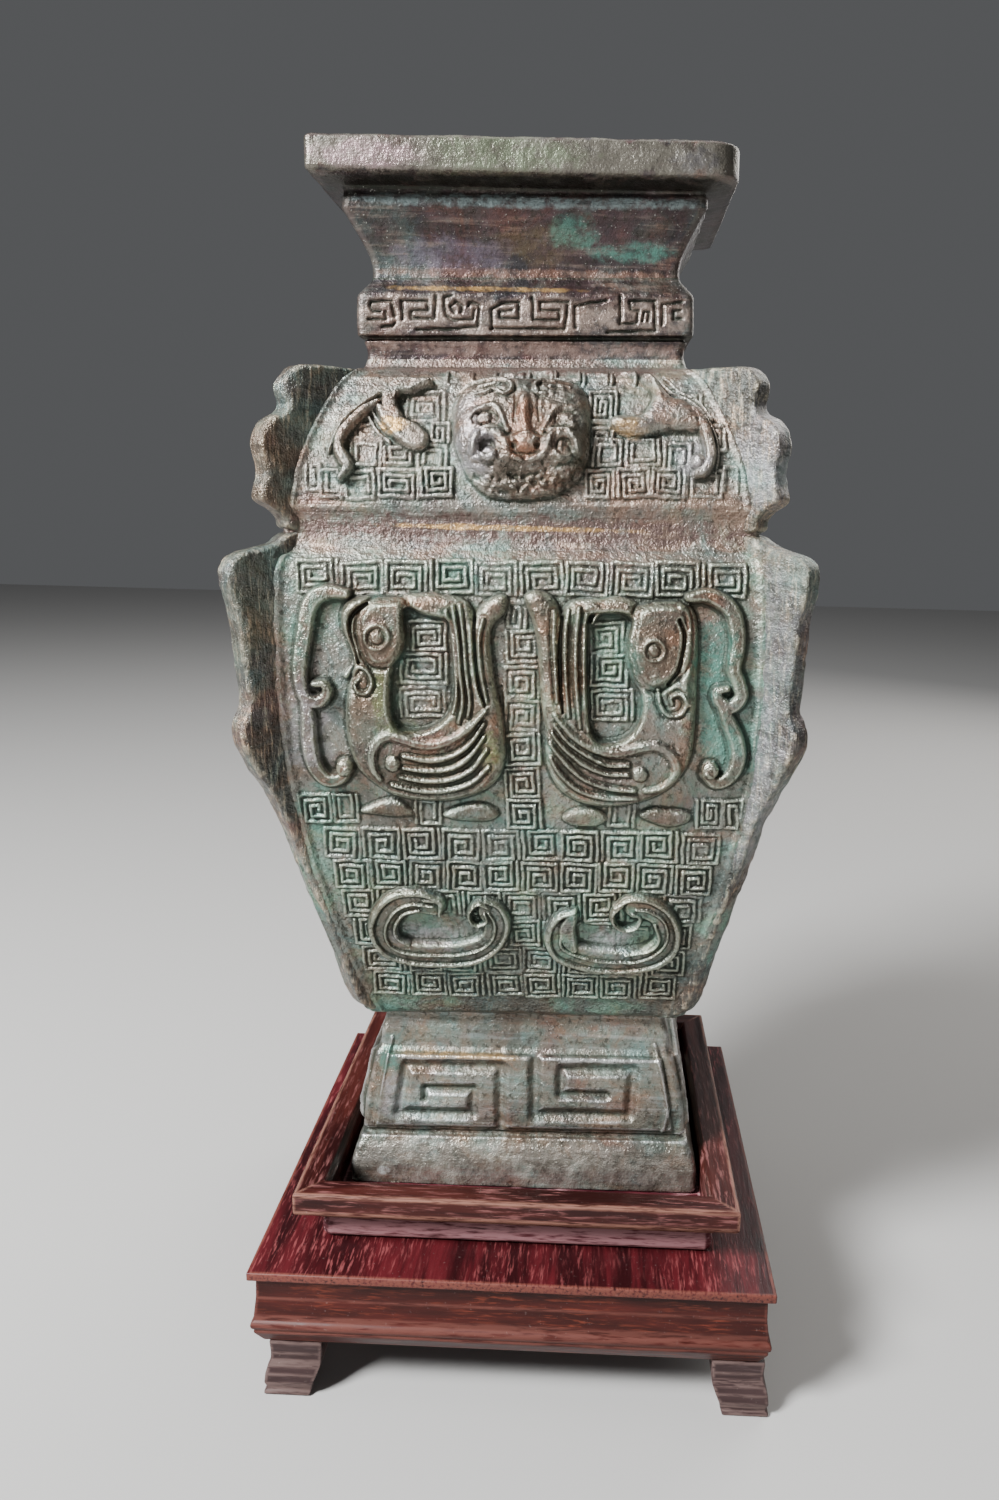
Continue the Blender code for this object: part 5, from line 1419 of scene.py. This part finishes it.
DRAGON_LINES = [
    [(-41.4, 243.7, 0.5), (-38.7, 239.8, 0.6), (-35.2, 236.8, 0.6), (-31.5, 235.2, 0.5)],
    [(-42.4, 242.3, 0.4), (-39.7, 238.2, 0.5), (-36.2, 235.5, 0.5)],
    [(-40.1, 249, 0.5), (-45.4, 245.3, 0.6), (-49.6, 241.4, 0.6), (-51.9, 237, 0.6),
     (-53.1, 232.9, 0.5)],
    [(37.2, 253.3, 0.5), (41.8, 249.2, 0.5), (46.8, 247, 0.5), (50.8, 243.5, 0.5), (53.8, 237.8, 0.5),
     (54.6, 232.4, 0.5), (53.9, 227.6, 0.4)],
    [(39.5, 253.6, 0.4), (44, 249.5, 0.4), (49, 247, 0.4), (53, 242.1, 0.4)],
]
RUNNING_BODY = [
    (24.8, 240.6), (26.4, 242.5), (33, 242.5), (35.2, 244.8), (36.6, 247.5), (35.8, 250.3),
    (33.6, 253.3), (36.4, 253.6), (39.1, 250.3), (41.8, 247.6), (45.1, 247), (48.1, 244.5), (50, 241.5),
    (49.2, 239.1), (44, 239.1), (38.5, 238.8), (34.4, 237.4), (29.8, 237.4), (26.2, 239),
]
TAIL_BOSS = (49.2, 230.5, 2.4)
SHOULDER_SPIRAL_LINES = (1.50, 0.46)
SHOULDER_CELLS = [
    (-52.2, 224.3, 3, 3.6), (-45.3, 224.3, 4.6, 3.6), (-33.3, 224.7, 5.4, 3.6),
    (-23, 224.7, 4.2, 3.6), (22.5, 225, 3.8, 3.6), (31.6, 225.1, 4.2, 3.6),
    (41.2, 225.1, 4.4, 3.6), (51.3, 225.2, 4.8, 3.6), (-42.6, 233, 4.2, 3.6),
    (-34, 232.2, 3.6, 2.2), (-24.2, 231.7, 3.8, 3.2), (24.4, 233.1, 3.8, 3.4),
    (34, 233.1, 4.4, 3.4), (43.6, 232.6, 3.4, 3.2), (-26.8, 245.7, 5.2, 4),
    (-43.1, 238.2, 3.4, 2.2), (23.1, 245.4, 3.6, 4), (22.4, 237.4, 3, 2.4),
    (46.9, 246.6, 3.4, 2.2), (54, 237.6, 2.4, 3.4), (-22.4, 238.4, 2.4, 2.4), (-57.4, 226.0, 1.8, 3.4),
    (58.0, 226.0, 1.8, 3.4), *row_of_cells(253.8, 1.2, -22.0, 32.0, 7),
]
MASK_OUTLINE = [
    (-18.3, 248.4), (-16.4, 250.6), (-11.5, 251.8), (-4.6, 252.2), (0.2, 251.9), (6.6, 251.9),
    (13.6, 251.3), (17.5, 249.6), (19, 244.7), (19.1, 237.8), (18.6, 231.1), (16.2, 225.7),
    (11.4, 222.5), (5.9, 221.1), (-1, 220.5), (-7.3, 221), (-11.4, 223.4), (-14.5, 227.1),
    (-16.5, 231.4), (-18.3, 236.8), (-18.8, 243.1),
]
MASK_SCROLLS = [
    [(-17.5, 248.5, 0.6), (-14.6, 250.5, 0.8), (-9.9, 251.4, 0.8), (-4.9, 251.1, 0.8),
     (-2.6, 249.1, 0.8), (-2.5, 246.9, 0.7), (-4.4, 245.8, 0.6), (-6.4, 246.9, 0.5)],
    [(-12.7, 246, 0.5), (-10.2, 246.3, 0.6), (-8.1, 246.9, 0.5)],
    [(-11.7, 248.3, 0.5), (-9, 248.8, 0.5), (-5.7, 249.4, 0.4)],
    [(17.5, 248.4, 0.6), (13.6, 250.6, 0.8), (9.5, 251.1, 0.8), (5.6, 250.6, 0.8), (4, 248.6, 0.8),
     (4.9, 246.4, 0.7), (7.1, 245.9, 0.6)],
    [(8.8, 246.4, 0.5), (11.2, 246.7, 0.6), (13.7, 246.2, 0.5)],
    [(8.2, 248.3, 0.5), (10.9, 248.9, 0.5), (13.7, 248.4, 0.4)],
]
MASK_LIDS = [
    [(-12.1, 241.5, 0.5), (-9.6, 242.4, 0.8), (-6.9, 242.4, 0.9), (-5.2, 240.8, 0.9), (-4, 238.3, 0.8),
     (-2.6, 236.2, 0.6)],
    [(-11.7, 237.8, 0.5), (-8.9, 236.7, 0.6), (-5.6, 236.7, 0.6), (-2.9, 235.9, 0.5)],
    [(16.1, 241.4, 0.5), (13.6, 242.5, 0.8), (10.9, 242.5, 0.9), (9, 240.8, 0.9), (7.7, 238.4, 0.8),
     (6.4, 236.2, 0.6)],
    [(15.6, 237.9, 0.5), (12.9, 236.8, 0.6), (9.6, 236.8, 0.6), (6.6, 236, 0.5)],
]
MASK_LIPS = [
    [(-12.5, 231.3, 0.9), (-11.5, 234.2, 1.4), (-8.8, 235.9, 1.6), (-5.8, 235.3, 1.5),
     (-3.9, 232.9, 1.4), (-2.2, 230.3, 1.3), (0.5, 229, 1)],
    [(16.8, 231.2, 0.9), (15.4, 234.1, 1.4), (12.6, 235.7, 1.6), (9.7, 235.2, 1.5), (7.8, 232.7, 1.4),
     (6.2, 230.3, 1.3), (3.5, 229, 1)],
]
MASK_JAW = [
    (-12.1, 228.7, 0.7), (-8.3, 227.9, 0.8), (-4.2, 226.9, 0.9), (-0.3, 225.8, 0.9), (3.5, 226.1, 0.9),
    (7.6, 227.2, 0.8), (11.6, 228, 0.7), (15.7, 229.1, 0.6),
]
MASK_NOSE = [
    (-1.9, 232.7), (-1.4, 234.5), (0.2, 236.1), (-0.4, 238.8), (-0.8, 242), (-0.1, 245.9), (2.3, 246.2),
    (3.5, 242.6), (3.4, 238.8), (4, 236.2), (5.9, 234), (6.2, 231.9), (3.8, 231.1), (0.6, 231.1),
]


def beast_mask(x, z):
    """A beast's face: scrolled forehead, slanted eyes, broad nose, lips, fangs and rough chin."""
    depth = depth_in(x, z, MASK_OUTLINE)
    share = np.clip((depth + 0.3) / 6.0, 0.0, 1.0)
    field = np.sqrt(1.0 - (1.0 - share) ** 2) * (2.6 + 4.6 * dome(x, z, (1.2, 234.0), (20.5, 30.0)))
    inside = depth > 0.3
    kept = 1.0 - 0.55 * rise(x, 5.0, 11.0)
    for hand in (-1, 1):
        muzzle, eye, cheek = 2.0 + hand * 10.1, 2.0 + hand * 11.4, 1.6 + hand * 15.9
        field = field + 1.2 * dome(x, z, (cheek, 236.2), (4.2, 6.4))
        field = field + 1.2 * dome(x, z, (muzzle, 231.6), (6.4, 6.0))
        mouth = dome(x, z, (muzzle + 0.3 * hand, 232.2), (2.4, 2.3))
        fang = dome(x, z, (muzzle, 230.4), (2.6, 2.2))
        field = field - kept * (2.0 * rise(mouth, 0.0, 0.75) - 1.5 * rise(fang, 0.0, 0.9))
        field = field - 0.6 * kept * rise(dome(x, z, (eye, 239.4), (3.8, 2.5)), 0.0, 0.5)
        field = field + 1.2 * kept * dome(x, z, (eye, 239.7), (1.9, 1.7))
        field = field - 1.2 * dome(x, z, (2.1 + hand * 3.0, 232.4), (0.9, 0.7))
        bridge_side = [
            (2.1 + hand * aside, high, half)
            for aside, high, half in ((3.6, 249.8, 0.5), (3.1, 243.6, 0.5), (3.4, 238.6, 0.4))
        ]
        field = field - ridge(x, z, bridge_side, 0.45)
    nostrils = dome(x, z, (1.7, 233.2), (5.6, 2.5))
    field = field + 1.5 * rise(depth_in(x, z, MASK_NOSE), -0.4, 1.8) + 1.1 * nostrils
    fine = add_strokes(0.0, x, z, MASK_SCROLLS, 1.2)
    fine = add_strokes(fine, x, z, MASK_SCROLLS, -0.5, 2.2)
    fine = add_strokes(fine, x, z, MASK_LIDS, 0.9)
    field = add_strokes(field + kept * fine, x, z, MASK_LIPS, 1.15)
    field = field - ridge(x, z, MASK_JAW, 0.5)
    chin = 1.0 - rise(z + 0.8 * ripple(x, z, 3.0, 44), 224.5, 230.0)
    field = field * (1.0 - 0.42 * chin)
    field = field + chin * uneven(x, z, (0.55, 0.9, 41), (0.75, 2.1, 42))
    worn = 0.35 * rise(x, 3.0, 9.0) * ripple(x, z, 1.6, 45)
    field = field + 0.16 * ripple(x, z, 1.1, 43) + worn
    return np.where(inside, np.maximum(field, 0.6), np.clip(field, 0.0, 2.5) * (depth > -0.3))


def shoulder_relief(u, z, squeeze, reach):
    """The shoulder's mask, dragons and spiral ground on one face."""
    x = u / squeeze
    figure = raise_strokes(raised(x, z, RUNNING_BODY, 4.0, 3.2), x, z, DRAGONS, 3.4, 1.25)
    figure = raise_strokes(figure, x, z, DRAGON_LINES, 1.5)
    figure = np.maximum(figure, 3.6 * button(x, z, *TAIL_BOSS))
    mask = beast_mask(x, z)
    waves = (0.2, 12.0, 14), (0.18, 1.7, 13)
    ground = worn_ground(u, z, squeeze, figure, SHOULDER_CELLS, 1.2, SHOULDER_SPIRAL_LINES, *waves)
    ground *= np.abs(u) < reach - FLANGE_HALF_THICKNESS
    field = np.maximum(np.maximum(figure, ground), mask)
    field += cove(u, reach, 2.2, 0.7) * rise(z, 214.0, 220.0)
    fade = rise(z, 207.5, 210.0) * (1.0 - rise(z, 256.0, 257.5))
    grain = uneven(u, z, (0.12, 8.0, 15), (0.07, 2.0, 16), (0.05, 0.9, 18))
    return (field + grain) * fade


shoulder_bronze = bronze(
    "shoulder_bronze", (0.205, 0.168, 0.138), (0.196, 0.174, 0.150), PALE_VERDIGRIS,
    (0.520, 0.500, 0.430), 0.32, 0.38,
    patches=[
        ((-35.5, -51, 240.4), (4.6, 9, 2.6), GOLD, 0.95),
        ((29, -51, 240), (6, 9, 3), GOLD, 0.5),
        ((1.5, -57, 233.4), (5.4, 9, 2.6), (0.340, 0.170, 0.105), 0.7),
        ((1, -57, 241), (4, 9, 6), (0.360, 0.180, 0.120), 0.6),
        # Painted light: lavender on the mask's left half, which faces the lamp.
        ((-12.5, -55, 233), (7.5, 9, 7.5), LAVENDER_AND_LIGHT, 0.85),
        ((-15, -55, 245), (6, 9, 6), LAVENDER_AND_LIGHT, 0.4),
        ((48, -50, 231), (6, 6, 6), LAVENDER_AND_LIGHT, 0.7),
        ((3, -53, 225), (14, 9, 4.5), DARK_EARTH_AND_SHADE, 0.75),
        # Painted shade: the mask's right half darkened.
        ((14.5, -55, 238), (6.5, 12, 12), DARK_EARTH_AND_SHADE, 0.65),
        ((0, -52, 212), (80, 9, 4.5), (0.120, 0.080, 0.070), 1.3),
        ((0, -40, 257.5), (60, 22, 3.2), (0.165, 0.115, 0.098), 1.1),
        ((-3, -52, 212.6), (36, 9, 0.9), GOLD, 0.75),
        ((35, -49, 222), (9, 9, 9), COPPER, 0.4),
        ((33, -49, 248), (4.5, 4.5, 4.5), TURQUOISE, 0.45),
    ],
    brushed=0.42,
)
shoulder_rows = profile_rows(SHOULDER_STATIONS, 0.37, 0.40)
shoulder_ring = face_columns((400, 110, 150, 110))
shoulder_heights = relief_of(shoulder_rows, shoulder_ring, shoulder_relief)
wall_piece(
    "vase_shoulder", shoulder_rows, shoulder_ring, shoulder_heights, True, shoulder_bronze,
    cuts=(219.0, 240.0),
)

# Vase neck and rim: a collar, a band of squared meander, a waisted neck and a heavy square rim with a
# worn right front corner. The rim is not quite level and drops to the right.

NECK_STATIONS = [
    (260, 46, 2.2), (261, 45.8, 2.2), (263, 46, 2.2), (264.9, 46.7, 2.2), (265.1, 45.9, 2.2),
    (266, 45.9, 2.2), (266.3, 48.2, 2.2), (270, 48.3, 2.2), (276.6, 48.1, 2.2), (277.6, 47.8, 2.2),
    (278.5, 47, 2.2), (280.3, 45.5, 2.2), (282, 44.2, 2.2), (284, 44, 2.2), (286, 44.15, 2.2),
    (288, 44.6, 2.2), (290, 45.5, 2.2), (292, 46.5, 2.2), (294.5, 47.9, 2.2), (296.5, 49.1, 2.2),
    (298.3, 50.1, 2.2), (299.4, 51, 2.2), (302.4, 51, 2.4), (302.9, 50.5, 2.4), (304.4, 50.6, 2.4),
    (305.6, 57, 1.8), (306.6, 59, 1.8), (314.6, 59, 1.8), (315.4, 58.1, 1.8), (315.4, 50.2, 2),
    (314.4, 49.3, 2.4), (306, 49.2, 2.8), (298.5, 44.8, 3), (285, 39.6, 3), (276.5, 39.5, 3),
    (262, 40.4, 3),
]
BAND_TOP = 282.0
RIM_DROP = 0.0208
CORNER_WEAR = 7.5
RIM_TOP_ROWS = 14
BAND_LINES = [
    [(-40.9, 272.7), (-43.3, 272.7), (-44.1, 274.2), (-43.6, 275.4), (-37.8, 275.6), (-37.1, 271.5)],
    [(-44.6, 270.6), (-39.6, 270.7), (-39.6, 272.7)],
    [(-40.7, 268.6), (-37.8, 268.8), (-37, 269.8)],
    [(-34.8, 270.8), (-34.8, 275.7), (-27.6, 275.7), (-27.3, 273.2), (-32.1, 273), (-32.3, 270.9),
     (-25.5, 270.9), (-25, 277.2)],
    [(-30.7, 268), (-22.6, 268), (-13.2, 268.7), (-12.6, 274.7), (-15.3, 275.4), (-15.8, 274.5)],
    [(-20.5, 277.2), (-22.5, 276.7), (-22.7, 274.5), (-22.4, 271.5), (-20.5, 270.6), (-14.5, 270.8),
     (-14, 273.5)],
    [(-20, 272.7), (-21, 274.2), (-19.5, 275.5), (-17.6, 274.5), (-17.9, 272.7)],
    [(-9.4, 268.2), (-9.3, 273.5), (-6.4, 275.1), (-1.6, 275.2), (-1.4, 270.9), (-6.8, 271),
     (-6.9, 272.9), (-3.5, 273.2)],
    [(-9.4, 268.2), (11.7, 268), (12.6, 275.4), (4.5, 275.4), (4.6, 273.2), (9.9, 273), (10, 270.4),
     (2.6, 270.6), (2.3, 276.7)],
    [(14.7, 268.6), (14.6, 274.5), (23.5, 275.9)],
    [(27.4, 277.3), (27.5, 269.4), (31.9, 269.7), (32.5, 273), (30.2, 273.5), (29.9, 275.7),
     (37.2, 275.6), (37.3, 267.6), (24, 267.2)],
    [(33.8, 270.3), (34.2, 272.7), (35.6, 272.7), (35.4, 270.3)],
    [(39.4, 269.3), (39.5, 274.7), (46.1, 275.5), (46.3, 270.8), (42.4, 270.7), (42.3, 273),
     (44.4, 273)],
]


def neck_relief(u, z, squeeze, reach):
    """The meander's thin lines, cut into the neck's band; above it and inside, the metal is plain."""
    x = u / squeeze + 0.20 * ripple(u, z, 2.6, 27)
    field = uneven(u, z, (0.15, 8.0, 25), (0.08, 2.0, 26))
    high = z + 0.20 * ripple(u, z, 2.9, 28)
    for stroke in BAND_LINES:
        share, _ = stroke_reach(x, high, np.array([(a, b, 0.42) for a, b in stroke]))
        field = field - 0.9 * (1.0 - rise(share, 0.3, 1.6)) * (z < 279)
    return field


neck_bronze = bronze(
    "neck_bronze", (0.052, 0.038, 0.038), (0.044, 0.032, 0.034), (0.066, 0.092, 0.072),
    (0.250, 0.195, 0.165), 0.40, 0.20,
    patches=[
        ((0, -40, 310.5), (90, 30, 5.4), (0.132, 0.121, 0.100), 2.4),
        ((0, -30, 316.2), (90, 90, 1.2), OLIVE_GREY, 0.6),
        ((-40, -42, 311), (17, 9, 4), (0.330, 0.220, 0.235), 0.7),
        # Painted shadow under the rim.
        ((0, -45, 304.6), (90, 30, 1.4), (0.028, 0.025, 0.020), 1.6),
        # Painted highlight on the fillet under the rim.
        ((0, -36, 301), (60, 14, 1.8), (0.165, 0.205, 0.205), 1.1),
        ((-6, -45, 311), (24, 9, 5), (0.128, 0.148, 0.098), 0.9),
        ((47, -45, 309), (7, 9, 4), (0.085, 0.080, 0.085), 0.7),
        ((4, -30, 291), (13, 12, 6), (0.115, 0.082, 0.046), 0.55),
        # Painted sheen: a purple-lavender patch on the neck's left.
        ((-20, -30, 288), (18, 12, 5), (0.175, 0.145, 0.200), 0.42),
        ((30, -30, 289), (12, 9, 3), TURQUOISE, 0.7),
        ((14, -30, 294), (7, 9, 4.5), TURQUOISE, 0.5),
        ((0, -32, 283.5), (60, 9, 1.6), COPPER, 0.5),
        ((0, -32, 271.5), (60, 6, 5.5), (0.340, 0.260, 0.215), 0.75),
        ((0, -30, 263), (60, 12, 2.4), (0.340, 0.230, 0.195), 0.6),
        ((-10, -32, 279), (30, 6, 0.9), GOLD, 0.7),
    ],
    bump=0.5, brushed=0.40, pale_share=0.10,
)
neck_rows = profile_rows(NECK_STATIONS, 0.70, 0.24)
band_rows = profile_rows(NECK_STATIONS, 0.36, 0.24)
neck_ring = face_columns((250, 90, 110, 90))
band_top = int(np.argmax(neck_rows[:, 0] > BAND_TOP))
outside = np.arange(len(band_rows)) < len(band_rows) // 3
band_rows = band_rows[outside & (band_rows[:, 0] < BAND_TOP)]
band_rows[-1] = neck_rows[band_top]
band_heights = relief_of(band_rows, neck_ring, neck_relief)
wall_piece("vase_neck_band", band_rows, neck_ring, band_heights, True, neck_bronze)
neck_rows = neck_rows[band_top:]
neck_heights = relief_of(neck_rows, neck_ring, neck_relief)
crest = int(np.argmax(neck_rows[:, 0]))
neck_inner = np.arange(len(neck_rows)) > crest + RIM_TOP_ROWS
neck_heights[neck_inner] *= 0.3
neck_tip = RIM_DROP * np.where(
    neck_inner, rise(neck_rows[:, 0], 285.0, 306.0), rise(neck_rows[:, 0], 301.5, 305.0),
)[:, None]
at_corner = rise(neck_ring[:, 0], 0.0, 1.0) * rise(-neck_ring[:, 1], 0.0, 1.0)
on_rim = rise(neck_rows[:, 0], 304.0, 306.5) * ~neck_inner
neck_worn = CORNER_WEAR * on_rim[:, None] * at_corner[None, :]
wall_piece("vase_neck", neck_rows, neck_ring, neck_heights, True, neck_bronze, neck_tip, neck_worn)

# Vase lining: the rough inside of the same bronze casting, from the neck down to the vessel's floor.
# One plain wall runs round its profile, and the lowest ring of points is closed as the floor.

LINING_STATIONS = [
    (262, 40.4, 3), (257, 41.3, 3), (251.6, 50.1, 3), (247, 54, 3), (239, 58.2, 3), (230, 61.3, 3),
    (223, 62.6, 3), (205, 62.6, 3), (193, 67.4, 3), (172, 68.2, 3), (150, 67.2, 3), (126, 64.2, 3),
    (103, 59.2, 3), (80, 53.2, 3), (63, 47.3, 3), (57.5, 41.6, 3), (57, 40, 3), (57, 16.5, 0.5),
]
BETWEEN_THE_RIMS = 150 * MM
lining_bronze = bronze(
    "lining_bronze", (0.060, 0.045, 0.034), (0.075, 0.075, 0.058), (0.110, 0.130, 0.100),
    (0.100, 0.080, 0.050), 0.6, 0.2,
)
lining_rows = profile_rows(LINING_STATIONS, 2.0, 0.8)
lining_ring = face_columns((30, 24, 30, 24))
rough_cast = np.zeros((len(lining_rows), len(lining_ring)))
lining = wall_piece("vase_lining", lining_rows, lining_ring, rough_cast, True, lining_bronze)
bpy.ops.object.mode_set(mode="EDIT")
bpy.ops.mesh.select_all(action="DESELECT")
bpy.ops.mesh.select_non_manifold(extend=False, use_wire=True, use_boundary=True)
bpy.ops.object.mode_set(mode="OBJECT")
for vertex in lining.data.vertices:
    vertex.select = vertex.select and vertex.co.z < BETWEEN_THE_RIMS
bpy.ops.object.mode_set(mode="EDIT")
bpy.ops.mesh.edge_face_add()
bpy.ops.object.mode_set(mode="OBJECT")
